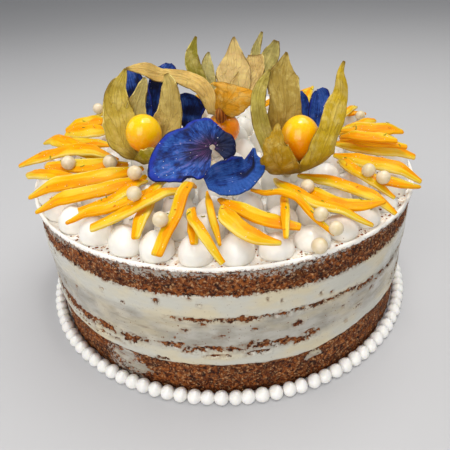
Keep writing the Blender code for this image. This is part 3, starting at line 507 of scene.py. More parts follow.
BARE_SPOTS = (
    (16.7, 1.6, 38.2, 1.1), (5.4, 0.7, 39.7, 0.6), (-11.2, 1.0, 39.6, 0.7), (-2.9, 1.2, 37.1, 0.8),
    (-6.8, 0.9, 43.5, 0.6), (-17.6, 0.9, 54.2, 0.9), (-7.2, 0.6, 54.3, 0.6), (-9.4, 0.5, 57.4, 0.5),
    (-26.9, 0.6, 49.1, 0.6), (29.6, 0.5, 38.2, 0.5), (40.7, 0.7, 39.4, 0.7), (36, 1.0, 33.1, 0.5),
    (31, 0.5, 28.7, 0.4), (22, 0.4, 52.0, 0.5), (12, 0.4, 53.4, 0.4), (8.5, 0.4, 55.6, 0.4),
    (-33, 0.5, 52.6, 0.5), (-14, 0.4, 35.0, 0.5), (25, 0.5, 50.4, 0.4), (-45, 0.6, 44.0, 0.5),
)
SMEARS = (
    (-30.5, 3.6, 14.6, 4.4), (-27.0, 4.4, 8.8, 3.4), (21.5, 2.4, 15.6, 2.4), (-64, 4.0, 8.0, 4.0),
    (74, 8.0, 12.0, 6.0), (-118, 9.0, 11.0, 6.0), (150, 12.0, 13.0, 5.0), (-160, 8.0, 7.0, 5.0),
    (60, 9.0, 69.5, 3.0), (96, 14.0, 68.6, 3.6), (170, 14.0, 69.0, 3.0), (-140, 9.0, 68.6, 3.0),
)
SIDE_SEED = 21
MORE_STREAKS = 34
MORE_SPOTS = 46
BARE_RADIUS = 99.15
CREAM_RADIUS = 99.85
EDGE_ROW = 0.03
LAYER_EDGE_INSIDE = 0.96


def side_streaks():
    """The streaks seen from the front, and more of their kind round the rest of the side."""
    chance = random.Random(SIDE_SEED)
    streaks = list(BARE_STREAKS + BARE_SPOTS)
    for _ in range(MORE_STREAKS):
        bearing = chance.choice((-1, 1)) * chance.uniform(58, 180)
        height = chance.choice((46.0, 45.0, 28.6, 29.4, 30.4)) + chance.uniform(-1.0, 1.0)
        streaks.append((bearing, chance.uniform(2.5, 8.0), height, chance.uniform(0.7, 2.0)))
    for _ in range(MORE_SPOTS):
        bearing = chance.choice((-1, 1)) * chance.uniform(50, 180)
        half, height = chance.uniform(0.4, 1.2), chance.uniform(23, 57)
        streaks.append((bearing, half, height, chance.uniform(0.4, 0.9)))
    return streaks


def outward(turn):
    """Flat directions out from the middle of the cake."""
    return np.stack((np.sin(turn), -np.cos(turn), np.zeros(len(turn))), axis=1)


def round_the_side(bearing, height):
    """Points on the side of the cake."""
    return CAKE_RADIUS * outward(np.radians(bearing)) + height[:, None] * np.array((0, 0, 1))


def turned_from(bearing, middle):
    """Degrees from one bearing to another, the short way round."""
    return (bearing - middle + 180) % 360 - 180


def side_cover(bearing, height):
    """What lies on each point of the side: how many mm it is into the cream, below 0 on bare
    sponge, how thin the cream is, and how much cream is rubbed into the sponge."""
    around = round_the_side(bearing, height)
    flat = around * np.array((1, 1, 3.0))
    low_edge = 19.0 + 4.0 * eased(bearing, 16, 44) * (1 - eased(bearing, 75, 95))
    low_edge = low_edge + 0.8 * grain(flat, 9, 2, 1)
    high_edge = 58.4 + 0.7 * grain(flat, 8, 3, 2)
    under_lip = 70.3 + 1.3 * grain(flat, 11, 3, 3)
    cover = np.minimum(height - low_edge, high_edge - height)
    cover = np.maximum(cover, height - under_lip)
    worn = 1.3 * grain(around * np.array((1, 1, 2.2)), 2.6, 3, 4)
    for middle, half, level, rise in SMEARS:
        away = turned_from(bearing, middle)
        slanted = level + 0.12 * away
        shape = 1 - np.hypot(away / half, (height - slanted) / rise)
        cover = np.maximum(cover, np.minimum(shape * rise, 0.75) + 1.1 * worn)
    broken = 1.9 * grain(around * np.array((1, 1, 1.5)), 1.7, 2, 14)
    for middle, half, level, rise in side_streaks():
        away = turned_from(bearing, middle)
        shape = 1 - np.hypot(away / half, (height - level) / (1.5 * rise))
        cut = 0.25 - shape * rise * 1.3 + (0.6 * worn + broken) * eased(rise, 0.3, 1.2)
        near = (np.abs(away) < half * 1.6) & (np.abs(height - level) < rise * 2 + 1)
        cover = np.where(near, np.minimum(cover, cut), cover)
    cover = cover + 0.35 * worn
    wander = height + 2.4 * grain(flat, 30, 2, 31)
    thin = eased(wander, 25.6, 30.6) * (1 - eased(wander, 42.6, 48.8))
    thin = np.clip(thin + eased(height, 60, 62) + (1 - eased(height, 16.5, 19)), 0, 1)
    ragged = height + 3.2 * grain(flat, 26, 2, 33)
    rubbed = eased(ragged, 61.5, 71.0) * (0.75 + 0.25 * np.cos(np.radians(bearing + 35)))
    patch = 0.75 * (1 - eased(np.abs((bearing + 31) / 9), 0.4, 1))
    rubbed = np.maximum(rubbed, patch * (1 - eased(height, 14, 22)))
    return np.clip(cover, -3, 3), thin, rubbed


def side_radius(around, cover, thin):
    """How far out the side stands: rough where sponge is bare, smooth where cream lies, with a
    ridge of cream along each bare streak."""
    level = around[:, 2]
    crumb = grain(around * np.array((1, 1, 1.3)), 2.1, 3, 5)
    holes = eased(grain(around, 2.9, 2, 6), 0.18, 0.5)
    bare = BARE_RADIUS + 0.75 * crumb - 0.7 * holes
    swell = 0.22 * grain(around * np.array((1, 1, 0.8)), 14, 2, 7)
    scraped = 0.07 * grain(around * np.array((0.14, 0.14, 1.6)), 2.2, 2, 8)
    ridge = 0.32 * eased(cover, 0.2, 0.8) * (1 - eased(cover, 0.9, 2.2)) * eased(level, 18, 22)
    cream = CREAM_RADIUS - 0.4 * thin + swell + scraped * (1 + thin)
    cream = cream + ridge * (1 - eased(level, 54, 57))
    return bare + (cream - bare) * eased(cover, -0.35, 0.55)


def layer_body(low, high, sides, cell):
    """The points, faces and facts of one layer from height low to high."""
    rows = max(int(round((high - low) / cell)), 4) + 1
    levels = np.linspace(low, high, rows)
    edges = ([low + EDGE_ROW], [high - EDGE_ROW])
    levels = np.concatenate((levels[:1], edges[0], levels[1:-1], edges[1], levels[-1:]))
    rows = len(levels)
    height = np.repeat(levels, sides)
    bearing = np.tile(np.linspace(-180, 180, sides, endpoint=False), rows)
    facts = side_cover(bearing, height)
    radius = side_radius(round_the_side(bearing, height), *facts[:2])
    points = outward(np.radians(bearing)) * radius[:, None]
    points[:, 2] = height
    rings = points.reshape(rows, sides, 3)
    inward = np.array((LAYER_EDGE_INSIDE, LAYER_EDGE_INSIDE, 1))
    rings = np.concatenate((rings[:1] * inward, rings, rings[-1:] * inward))
    points, faces = closed_rings(rings, (0, 0, low), (0, 0, high))
    ends = [np.concatenate((v[:sides], v, v[-sides:], [0, 0])) for v in facts]
    return points, faces, dict(zip(("cover", "thin", "rubbed"), ends))


COAT_PROFILE = (
    (93.0, 70.0), (98.8, 70.05), (99.75, 70.2), (100.2, 70.6), (100.35, 71.2), (100.3, 71.9),
    (100.12, 72.45), (99.8, 72.8), (99.4, 72.9), (99.05, 72.65), (98.8, 72.1), (98.55, 71.6),
    (98.1, 71.35), (97.2, 71.25), (95.5, 71.2), (93, 71.25), (90, 71.3), (86, 71.25), (80, 71.3),
    (70, 71.25), (55, 71.3), (35, 71.3), (15, 71.3),
)
COAT_SIDES = 900
COAT_FOOT = 70.0
COAT_FLAT_FROM = 5


def coat_body(sides):
    """The cream over the top sponge with its thin raised lip, which waves a little."""
    out = outward(np.linspace(0, 2 * math.pi, sides, endpoint=False))
    wide = grain(out * 100, 26, 2, 9)
    fine = grain(out * 100, 7, 2, 10)
    rings = []
    for step, (radius, level) in enumerate(COAT_PROFILE):
        lip = eased(level, 71.3, 72.5)
        here = out * radius
        here[:, 2] = level
        wave = grain(here, 5.5, 2, 12)
        push = (0.28 * wide + 0.12 * fine) * eased(radius, 97.5, 99)
        ring = out * (radius + push - 0.02 * wave)[:, None]
        swell = 0.18 * wave if step >= COAT_FLAT_FROM else 0
        ring[:, 2] = level + lip * (0.45 * wide + 0.22 * fine - 0.15) + (1 - lip) * swell
        rings.append(ring)
    return closed_rings(np.array(rings), (0, 0, COAT_FOOT), (0, 0, COAT_TOP))


# Kisses and beads: shares of the radius with the share of the height there
KISS_CURVE = (
    (0.90, 0.0), (0.965, 0.05), (0.995, 0.13), (1.0, 0.23), (0.985, 0.34), (0.945, 0.45),
    (0.87, 0.56), (0.76, 0.67), (0.62, 0.77), (0.47, 0.85), (0.32, 0.91), (0.19, 0.95),
    (0.10, 0.975), (0.045, 0.99),
)
BEAD_CURVE = (
    (0.62, 0.0), (0.86, 0.05), (0.97, 0.16), (1.0, 0.30), (0.97, 0.45), (0.87, 0.60),
    (0.70, 0.73), (0.50, 0.83), (0.31, 0.90), (0.16, 0.95), (0.06, 0.985),
)


def kiss_places():
    """Middle, radius, height and profile of every kiss, from the rim inwards."""
    chance = random.Random(KISS_PLACES_SEED)
    places = []
    for number, (ring_radius, count, profile) in enumerate(KISS_RINGS):
        for i in range(count):
            bearing = 360.0 * i / count + 2.0 + 4.0 * number + chance.uniform(-0.5, 0.5)
            x, y = bearing_point(ring_radius + chance.uniform(-0.25, 0.25), bearing)
            radius = KISS_RADIUS + chance.uniform(-0.2, 0.05)
            height = KISS_HEIGHT + chance.uniform(-0.9, 0.0)
            if number == 0 and LOW_KISSES[0] < bearing < LOW_KISSES[1]:
                height -= LOW_KISSES[2]
            places.append((x, y, radius, height, profile))
    return places


def kiss_height(place):
    """The height over the table of a kiss at a distance from its middle."""
    _, _, radius, height, profile = place
    steps = [(share * radius + KISS_MARGIN, rise) for share, rise in KISS_PROFILES[profile]]
    far = [0.0] + [step[0] for step in reversed(steps)]
    rise = [1.0] + [step[1] for step in reversed(steps)]
    return lambda dx, dy: COAT_TOP + height * np.interp(np.hypot(dx, dy), far, rise)


def drop_body(curve, middle, foot, radius, height, lean, sides, seed):
    """A piped drop of cream: a soft dome that ends in a small leaning tip."""
    turn = np.linspace(0, 2 * math.pi, sides, endpoint=False) + 0.7 * seed
    rings = []
    for share, rise in curve:
        tip = eased(rise, 0.55, 1.0)
        uneven = 1 + 0.025 * np.sin(2 * turn + seed) + 0.015 * np.sin(3 * turn + 2 * seed)
        size = radius * share * uneven
        x = middle[0] + size * np.cos(turn) + lean[0] * tip
        y = middle[1] + size * np.sin(turn) + lean[1] * tip
        z = foot + height * rise + 0.012 * height * np.sin(turn + 1.3 * seed) * (1 - tip)
        rings.append(np.stack((x, y, z), axis=1))
    top = (middle[0] + 1.12 * lean[0], middle[1] + 1.12 * lean[1], foot + height)
    facts = {"rise": np.append(np.repeat([rise for _, rise in curve], sides), (0.0, 1.0))}
    return (*closed_rings(np.array(rings), (middle[0], middle[1], foot), top), facts)


def uneven_kiss(body, radius, seed):
    """Softens a kiss by a little, so that no two domes are alike."""
    points, faces, facts = body
    lift = 0.28 * grain(points, radius * 0.9, 2, seed % 13)
    centre = points.mean(axis=0)
    out = points - centre
    out /= np.linalg.norm(out, axis=1, keepdims=True) + 1e-9
    return points + out * (lift * (1 - 0.7 * facts["rise"]))[:, None], faces, facts


def kiss_bodies(sides):
    """Every kiss, sunk a little into the coat."""
    sink = 0.3
    chance = random.Random(KISS_LEAN_SEED)
    bodies = []
    for number, place in enumerate(kiss_places()):
        lean = (chance.uniform(-0.5, 0.5), chance.uniform(-0.5, 0.5))
        x, y, radius, height, _ = place
        foot = COAT_TOP - sink
        body = drop_body(KISS_CURVE, (x, y), foot, radius, height + sink, lean, sides, number)
        bodies.append(uneven_kiss(body, radius, number))
    return bodies


def bead_bodies(sides):
    """Every bead, with its small tip leaning along the ring."""
    chance = random.Random(BEAD_SEED)
    bodies = []
    for i in range(BEAD_COUNT):
        size = chance.uniform(0.94, 1.0)
        turn = 2 * math.pi * (i + chance.uniform(-0.06, 0.06)) / BEAD_COUNT
        middle = (BEAD_CENTRE * math.sin(turn), -BEAD_CENTRE * math.cos(turn))
        lean = 0.9 * chance.uniform(0.5, 1.3)
        lean = (lean * math.cos(turn), lean * math.sin(turn))
        radius, height = BEAD_RADIUS * size, BEAD_HEIGHT * size
        bodies.append(drop_body(BEAD_CURVE, middle, 0.0, radius, height, lean, sides, i))
    return bodies


def peel_line(peel, count):
    """Points, half widths and thicknesses along a strip, from its inner end to its tip."""
    tip_radius, tip_bearing, inner_radius, inner_bearing, width, bend, _, tip_share = peel[:8]
    start = bearing_point(inner_radius, inner_bearing)
    end = bearing_point(tip_radius, tip_bearing)
    along = end - start
    side = unit(np.array((-along[1], along[0])))
    middle = (start + end) / 2 + 2 * bend * side
    s = np.linspace(0.0, 1.0, count)[:, None]
    line = (1 - s) ** 2 * start + 2 * s * (1 - s) * middle + s**2 * end
    s = s[:, 0]
    tip_end = tip_share + (1 - tip_share) * 4.0 * (1 - s)
    share = np.minimum(np.minimum(0.30 + 2.6 * s, tip_end), 1.0)
    return line, 0.5 * width * share, PEEL_THICKNESS * (0.55 + 0.45 * share)


def resting_line(field, line, reach, own):
    """The lowest gently bent line that clears the field below a strip; front strips bend most."""
    facing = max(-unit(line[-1])[1], 0.0)
    bend = PEEL_SAG_FRONT * (PEEL_SAG_SHARE + (1 - PEEL_SAG_SHARE) * facing**2)
    distance = run_along(line)
    need = np.empty(len(line))
    for i, (x, y) in enumerate(line):
        droop = DROOP_HEIGHT - DROOP_SLOPE * max(math.hypot(x, y) - DROOP_FROM, 0.0)
        need[i] = max(field.rest_height(x, y, reach[i], own), droop)
    pole = np.linspace(-60.0, distance[-1] + 60.0, 240)
    sag = bend * (distance[:, None] - pole[None, :]) ** 2
    above = (need[:, None] - sag).max(axis=0)
    return (above[None, :] + sag).min(axis=1), need


def cleared_heights(heights, need, picks):
    """Raises the ends of each straight piece until the whole piece clears what it needs."""
    heights = heights.copy()
    samples = np.arange(len(need))
    for _ in range(3):
        short = need - np.interp(samples, picks, heights)
        for k in range(len(picks) - 1):
            lift = float(short[picks[k] : picks[k + 1] + 1].max())
            if lift > 0:
                heights[k] += 0.5 * lift
                heights[k + 1] += 0.5 * lift
    short = need - np.interp(samples, picks, heights)
    return heights + max(float(short.max()), 0.0)


def level_top(height):
    """A level upper side, as a function of the offset from its middle."""
    return lambda dx, dy: np.full(dx.shape, height)


def tilted_top(height, half, ahead, roll):
    """The upper side of a rolled strip as a function of the offset from its middle."""

    def surface(dx, dy):
        sideways = np.clip(dx * ahead[1] - dy * ahead[0], -half, half)
        return height + sideways * math.tan(roll)

    return surface


def thicken(points, patches, thickness):
    """A thin closed body on both sides of a surface of triangles and quads."""
    points = np.array(points, float)
    thickness = np.broadcast_to(np.array(thickness, float), (len(points),))[:, None]
    triangles = []
    for patch in patches:
        triangles += [(patch[0], patch[i], patch[i + 1]) for i in range(1, len(patch) - 1)]
    normal = np.zeros_like(points)
    for a, b, c in triangles:
        face_normal = np.cross(points[b] - points[a], points[c] - points[a])
        for i in (a, b, c):
            normal[i] += face_normal
    normal /= np.linalg.norm(normal, axis=1, keepdims=True) + 1e-9
    solid = np.concatenate((points + normal * thickness / 2, points - normal * thickness / 2))
    shift = len(points)
    edges = {(face[i], face[(i + 1) % 3]) for face in triangles for i in range(3)}
    faces = list(triangles)
    faces += [tuple(i + shift for i in reversed(face)) for face in triangles]
    for i, j in sorted(edges):
        if (j, i) not in edges:
            faces.append((j, i, i + shift))
            faces.append((j, i + shift, j + shift))
    return solid, faces


def grid_patches(first, rows, columns):
    """The quads of a grid whose points are numbered row by row from first."""
    patches = []
    for r in range(rows - 1):
        for c in range(columns - 1):
            a = first + r * columns + c
            patches.append((a, a + columns, a + columns + 1, a + 1))
    return patches


def outside_berries(point):
    """Moves a point straight out of any berry that it is in or too near to."""
    for middle, half_width, half_height in BERRIES.values():
        size = np.array((half_width, half_width, half_height)) + BERRY_CLEAR
        offset = (point - np.array(middle)) / size
        distance = np.linalg.norm(offset)
        if distance < 1.0:
            point = np.array(middle) + offset / max(distance, 1e-6) * size
    return point


def clear_of_all(field, point):
    """Moves a point of a husk or petal out of the berries and up off what lies below it."""
    x, y, z = outside_berries(point)
    return np.array((x, y, max(z, field.highest(x, y, LEAF_REACH) + LEAF_CLEAR)))


def settle_pearl(field, x, y, radius):
    """The nearest place where a pearl sinks a little into one thing and clears all others."""
    margin = 0.4
    tries = [(0.0, 0.0)]
    for reach in (0.8, 1.6, 2.4, 3.2, 4.0, 4.8, 5.6):
        turns = np.linspace(0, 2 * math.pi, 13)[:-1]
        tries += [(reach * math.cos(t), reach * math.sin(t)) for t in turns]
    for dx, dy in tries:
        part, near = field.window(x + dx, y + dy, radius + margin)
        distance = np.hypot(field.x[part] - x - dx, field.y[part] - y - dy)[near]
        height, owner = field.z[part][near], field.owner[part][near]
        core = distance < 1.0
        under = int(owner[np.argmin(distance)])
        if under < 0 or (owner[core] != under).any():
            continue
        sunk = float(height[core].min()) + radius - PEARL_SINK
        others = owner != under
        belly = np.sqrt(np.maximum((radius + margin) ** 2 - distance**2, 0.0))
        lowest = PEARL_LOWEST if math.hypot(x, y) < RIM_PEARL_FROM else COAT_TOP
        if sunk < max(lowest, float((height + belly).max()) - PEARL_PRESS * radius):
            continue
        if not others.any() or sunk >= float((height + belly)[others].max()) + 0.1:
            return np.array((x + dx, y + dy, sunk))
    return None


# Strips of peel
def lay_course(field, peel, owner, segments=5, fine=41):
    """Where a strip lies, point by point; the field is raised by it."""
    roll = math.radians(peel[6])
    line, half, thick = peel_line(peel, fine)
    reach = half * math.cos(roll) + 0.5 * thick * abs(math.sin(roll)) + PEEL_CLEAR
    low, need = resting_line(field, line, reach, owner)
    if len(peel) > 8:
        low = low + peel[8] * np.linspace(0, 1, fine) ** 2
    picks = np.round(np.linspace(0, fine - 1, segments + 1)).astype(int)
    samples = np.arange(fine)
    low = np.interp(samples, picks, cleared_heights(low[picks], need, picks))
    drop = half * abs(math.sin(roll)) + 0.5 * thick * math.cos(roll)
    top = low + drop + 0.5 * thick * math.cos(roll)
    for i in range(fine):
        ahead = unit(line[min(i + 1, fine - 1)] - line[max(i - 1, 0)])
        surface = tilted_top(top[i], half[i], ahead, roll)
        field.heap_up(*line[i], reach[i], surface, owner)
    return line, half, thick, low + drop, roll


STRIP_END = 0.012
STRIP_CAP = 4


def strip_body(course, stations, sides, seed):
    """A soft flat band with rounded edges and cut ends along a course."""
    line, half, thick, height, roll = course
    swept = np.linspace(math.pi / 2, 0.1, STRIP_CAP)
    narrowed = np.linspace(math.pi / 2.15, 0.1, STRIP_CAP)
    inner = np.linspace(STRIP_END, 1 - STRIP_END, stations - 2 * STRIP_CAP)
    spots = np.concatenate((STRIP_END - 0.02 * np.sin(swept), inner,
                            1 - STRIP_END + 0.02 * np.sin(swept[::-1])))
    spots = np.clip(spots, 0, 1)
    ends = np.concatenate((np.cos(narrowed), np.ones(len(inner)), np.cos(narrowed[::-1])))
    soft = height.copy()
    for _ in range(3):
        soft[1:-1] = 0.25 * soft[:-2] + 0.5 * soft[1:-1] + 0.25 * soft[2:]
    where = np.arange(len(line)) / (len(line) - 1)
    course = (line[:, 0], line[:, 1], soft, half, thick)
    *middle, wide, deep = (np.interp(spots, where, values) for values in course)
    middle = np.stack(middle, axis=1)
    length = float(np.linalg.norm(np.diff(line, axis=0), axis=1).sum())
    ahead = np.gradient(middle, axis=0)
    angle = np.linspace(0, 2 * math.pi, sides, endpoint=False) + math.pi / sides
    bow = np.sign(np.cos(angle)) * np.abs(np.cos(angle)) ** 0.62
    rise = np.sign(np.sin(angle)) * np.abs(np.sin(angle)) ** 0.72
    marks = np.stack((spots * length, np.full(stations, 3.1 * seed), np.zeros(stations)), axis=1)
    left, right = grain(marks, 6, 2, 1), grain(marks + 40, 6, 2, 2)
    twist = 0.10 * grain(marks + 80, 14, 1, 3)
    rings, place = [], []
    for k in range(stations):
        forward = unit(ahead[k])
        flat = unit(np.array((forward[1], -forward[0], 0.0)))
        level = np.cross(flat, forward)
        turned = roll + twist[k]
        side = math.cos(turned) * flat + math.sin(turned) * level
        up = -math.sin(turned) * flat + math.cos(turned) * level
        stretch = np.where(bow > 0, 1 + 0.07 * right[k], 1 + 0.07 * left[k])
        hollow = 0.10 * (1 - bow**2) * (rise > 0)
        across = wide[k] * bow * stretch * (1 - 0.04 * (rise + 1)) * ends[k] ** 0.6
        depth = 0.5 * deep[k] * (rise - hollow * 1.6) * (0.25 + 0.75 * ends[k])
        rings.append(middle[k] + across[:, None] * side + depth[:, None] * up)
        place.append(np.stack((bow, np.full(sides, spots[k] * length), rise), axis=1))
    rings, place = np.array(rings), np.array(place)
    bump = 0.10 * grain(rings.reshape(-1, 3), 1.6, 2, seed % 9).reshape(rings.shape[:2])
    rings[:, :, 2] += bump
    points, faces = closed_rings(rings, rings[0].mean(axis=0), rings[-1].mean(axis=0))
    tips = [place[0].mean(axis=0), place[-1].mean(axis=0)]
    place = np.concatenate((place.reshape(-1, 3), tips))
    facts = {"place": place, "lot": np.full(len(points), (seed * 0.618) % 1.0)}
    return points, [tuple(reversed(face)) for face in faces], facts


def ball_body(middle, size, sides, rows, wave=0.0, seed=0):
    """A round body: middle and half sizes, very slightly uneven."""
    middle, size = np.array(middle, float), np.array(size, float)
    turn = np.linspace(0, 2 * math.pi, sides, endpoint=False)
    rings = []
    for tilt in np.linspace(0, math.pi, rows + 2)[1:-1]:
        level = np.full(sides, -math.cos(tilt))
        ring = (np.sin(tilt) * np.cos(turn), np.sin(tilt) * np.sin(turn), level)
        rings.append(np.stack(ring, axis=1))
    rings = np.array(rings)
    lift = 1 + wave * grain(rings.reshape(-1, 3), 0.9, 2, seed).reshape(rings.shape[:2])
    rings = middle + rings * lift[:, :, None] * size
    foot, crown = middle - (0, 0, size[2]), middle + (0, 0, size[2])
    return closed_rings(rings, foot, crown)


# Husks and petals
def bowl(stations, hub):
    """How far a lobe is hollowed, so that its hollow side is turned to the berry."""
    middle = np.array(stations[len(stations) // 2][:3], float)
    turned = float(np.dot(unit(np.array(hub) - middle), FACING_SIDE))
    return HUSK_CUP * min(max(turned / 0.3, -1.0), 1.0)


def facing_of(point, hub, cup):
    """The direction that a lobe's face turns to at a point: its hollow side towards the hub."""
    return unit(FACING_SIDE + 0.8 * cup / HUSK_CUP * unit(np.array(hub) - point))


def leaf_creases(run, across, half, crumple, seed):
    """How far a leaf is creased at each of its points, with faint chevrons off its middle."""
    shape = (len(run), len(across))
    sideways = half[:, None] * across
    lengthwise = run[:, None] + 0 * across
    spots = np.stack((sideways, lengthwise, np.full(shape, 7.7 * seed)), axis=2)
    creases = grain(spots.reshape(-1, 3), 5.5, 3, 6).reshape(shape)
    swing = run[:, None] / 2.8 + 0.7 * abs(across)
    chevrons = np.sin(2 * math.pi * swing + 2.5 * creases)
    return crumple * (0.9 * creases + 0.12 * chevrons * abs(across) ** 0.5)


def fine_blade(field, stations, cup, shape, rows, columns, seed, hub=None):
    """A leaf along its stations, cupped, creased and ragged, with its face turned to the hub.
    Its shape is how far its rims wave, how high its ribs stand and how crumpled it is."""
    ripple, rib, crumple = shape
    line = smooth_line([station[:3] for station in stations], rows)
    half = np.maximum(smooth_line([station[3:] for station in stations], rows)[:, 0], 0.35)
    s = np.linspace(0, 1, rows)
    across = np.linspace(-1, 1, columns)
    run = run_along(line)
    ahead = np.gradient(line, axis=0)
    marks = np.stack((s * 9, np.full(rows, 2.7 * seed), np.zeros(rows)), axis=1)
    edges = (grain(marks, 1.0, 3, 4), grain(marks, 1.0, 3, 5))
    creased = leaf_creases(run, across, half, crumple, seed)
    frill_depth = (0.45 + 0.6 * crumple) * ripple
    torn_depth = 0.07 + 0.10 * crumple
    grid = np.empty((rows, columns, 3))
    leaf = np.empty((rows, columns, 3))
    for r in range(rows):
        tangent = unit(ahead[r])
        facing = FACING_SIDE if hub is None else facing_of(line[r], hub, cup)
        normal = unit(facing - np.dot(facing, tangent) * tangent)
        side = np.cross(tangent, normal)
        turned = max(float(np.dot(normal, FACING_SIDE)), 0.7)
        slim = min(half[r] / 3.0, 1.0)
        for c, u in enumerate(across):
            wave = ripple * abs(u) ** 1.5 * math.sin(7.0 * s[r] + 2.0 * u)
            frill = frill_depth * abs(u) ** 3 * math.sin(21.0 * s[r] + 4.0 * u + seed)
            ridge = math.exp(-((u / 0.10) ** 2)) + 0.5 * math.exp(-(((abs(u) - 0.55) / 0.09) ** 2))
            fold = 0.10 * half[r] * (abs(u) - 0.4)
            lift = cup * half[r] * (u * u - 0.3) + (wave + frill) * min(half[r] / 4.0, 1.0)
            lift += (rib * ridge + fold + creased[r, c]) * slim * min(4 * s[r], 1.0)
            torn = torn_depth * edges[int(u > 0)][r] * abs(u) ** 4
            point = line[r] + side * half[r] * u / turned * (1 + torn) + normal * lift
            grid[r, c] = clear_of_all(field, point)
            leaf[r, c] = (u, s[r], seed)
    return grid, leaf


def ribbed_knob():
    """The small ribbed knob at the foot of the middle husk, with painted shade in its grooves
    and painted light on its ridges.
    """
    middle, half_width, half_height = HUSK_KNOB
    size = (half_width, half_width, half_height)
    points, faces = ball_body(middle, size, sides=72, rows=15)
    offset = points - middle
    ribs = np.cos(9 * np.arctan2(offset[:, 1], offset[:, 0]))
    offset[:, :2] *= (1 + 0.07 * ribs)[:, None]
    # The grooves are painted dark and the ridges light: painted shade and painted light
    share = (0.5 + 0.5 * ribs)[:, None]
    tint = (1 - share) * np.array(tone(112, 50, 8)) + share * np.array(tone(190, 104, 26))
    leaf = np.stack((0.3 + 0.3 * ribs, np.full(len(ribs), 0.6), np.zeros(len(ribs))), axis=1)
    return offset + middle, faces, {"leaf": leaf, "tint": tint}


def join_lobes(grids, leaves):
    """Turns the lobes all one way round their cup, and draws the foot of each towards corners
    that it shares with its neighbours."""
    count = len(grids)
    for j in range(count):
        travel = grids[(j + 1) % count][0].mean(axis=0) - grids[j - 1][0].mean(axis=0)
        if np.dot(grids[j][0, -1] - grids[j][0, 0], travel) < 0:
            grids[j] = grids[j][:, ::-1]
            leaves[j] = leaves[j][:, ::-1]
    starts = [grid[0].copy() for grid in grids]
    for j in range(count):
        before, after = starts[j - 1], starts[(j + 1) % count]
        corners = ((before[-1] + starts[j][0]) / 2, (starts[j][-1] + after[0]) / 2)
        rows, columns = grids[j].shape[:2]
        fade = (1 - eased(np.arange(rows) / (rows - 1), 0.0, 0.3))[:, None]
        share = np.linspace(1, 0, columns)[None, :]
        grids[j] = (
            grids[j]
            + (fade * share)[:, :, None] * (corners[0] - starts[j][0])
            + (fade * share[:, ::-1])[:, :, None] * (corners[1] - starts[j][-1])
        )


def cup_and_lobes(heart, grids, leaves):
    """A round cup about its heart, whose rim splits into lobes."""
    join_lobes(grids, leaves)
    rim = np.concatenate([grid[0, :-1] for grid in grids])
    sides = len(rim)
    heart = np.array(heart)
    steps = (0.2, 0.4, 0.6, 0.8, 1.0)
    points = [heart]
    facts = [(0.0, -0.3, 0.0)]
    thickness = [CUP_THICKNESS]
    lobe_of = np.concatenate([leaf[0, :-1] for leaf in leaves])
    for step in steps:
        points += list(heart + step * (rim - heart))
        facts += [(f[0], -0.3 * (1 - step), f[2]) for f in lobe_of]
        thickness += [CUP_THICKNESS + (HUSK_THICKNESS - CUP_THICKNESS) * step**0.5] * sides
    patches = [(0, 1 + i, 1 + (i + 1) % sides) for i in range(sides)]
    for level in range(len(steps) - 1):
        low = 1 + level * sides
        for i in range(sides):
            j = (i + 1) % sides
            patches.append((low + i, low + sides + i, low + sides + j, low + j))
    rim_first = 1 + (len(steps) - 1) * sides
    start = 0
    for grid, leaf in zip(grids, leaves):
        rows, columns = grid.shape[:2]
        first = len(points)
        base = [rim_first + (start + c) % sides for c in range(columns)]
        patches += [(base[c], first + c, first + c + 1, base[c + 1]) for c in range(columns - 1)]
        patches += grid_patches(first, rows - 1, columns)
        points += list(grid[1:].reshape(-1, 3))
        facts += list(leaf[1:].reshape(-1, 3))
        start += columns - 1
    thickness += [HUSK_THICKNESS] * (len(points) - len(thickness))
    points, faces = thicken(points, patches, thickness)
    return points, faces, {"leaf": np.concatenate((facts, facts))}


def fine_large_petal(field, rows, columns):
    """The large petal as rings round its claw, open at a slit; its right side bends away."""
    claw = np.array(LARGE_PETAL_CLAW)
    across = unit(np.array((1.0, 0.12, -0.02)))
    upward = unit(np.array((0.02, 0.66, 0.75)))
    outward = np.cross(across, upward)
    radii = smooth_line([[r] for r in LARGE_PETAL_RADII], columns)[:, 0]
    level = np.zeros(columns)
    torn = grain(np.stack((np.linspace(0, 60, columns), level, level), axis=1), 2.2, 3, 9)
    grid = np.empty((rows, columns, 3))
    leaf = np.empty((rows, columns, 3))
    for c in range(columns):
        s = c / (columns - 1)
        turn = math.radians(LARGE_PETAL_FIRST - LARGE_PETAL_TURN * s)
        away = max(0.0, (s - 0.55) / 0.45)
        for r in range(rows):
            q = r / (rows - 1)
            radius = radii[c] * (1 + 0.05 * torn[c] * q**6)
            radius = LARGE_PETAL_INSIDE + (radius - LARGE_PETAL_INSIDE) * q
            ruffle = 0.9 * q**3 * math.sin(5 * turn) + 0.20 * q * math.sin(26 * turn + 3 * q)
            ruffle += 0.28 * math.sin(9 * turn + 5 * q) * (1 - q) * q * 4
            curl = 0.9 * max(q - 0.88, 0.0) / 0.12
            lift = 2.6 * q * q + ruffle - curl + away * (2.0 * q - 4.5 * q * q)
            flat = claw + radius * (math.cos(turn) * across + math.sin(turn) * upward)
            grid[r, c] = clear_of_all(field, flat + outward * lift)
            leaf[r, c] = (s * 2 - 1, q, 0)
    return grid, leaf


def thin_sheet(grid, leaf, thickness):
    """A grid of points as a sheet with two faces."""
    rows, columns = grid.shape[:2]
    points, faces = thicken(grid.reshape(-1, 3), grid_patches(0, rows, columns), thickness)
    facts = leaf.reshape(-1, 3)
    return points, faces, {"leaf": np.concatenate((facts, facts))}


# All toppings that rest on each other are laid once, in the order of the solids
LAID = {}


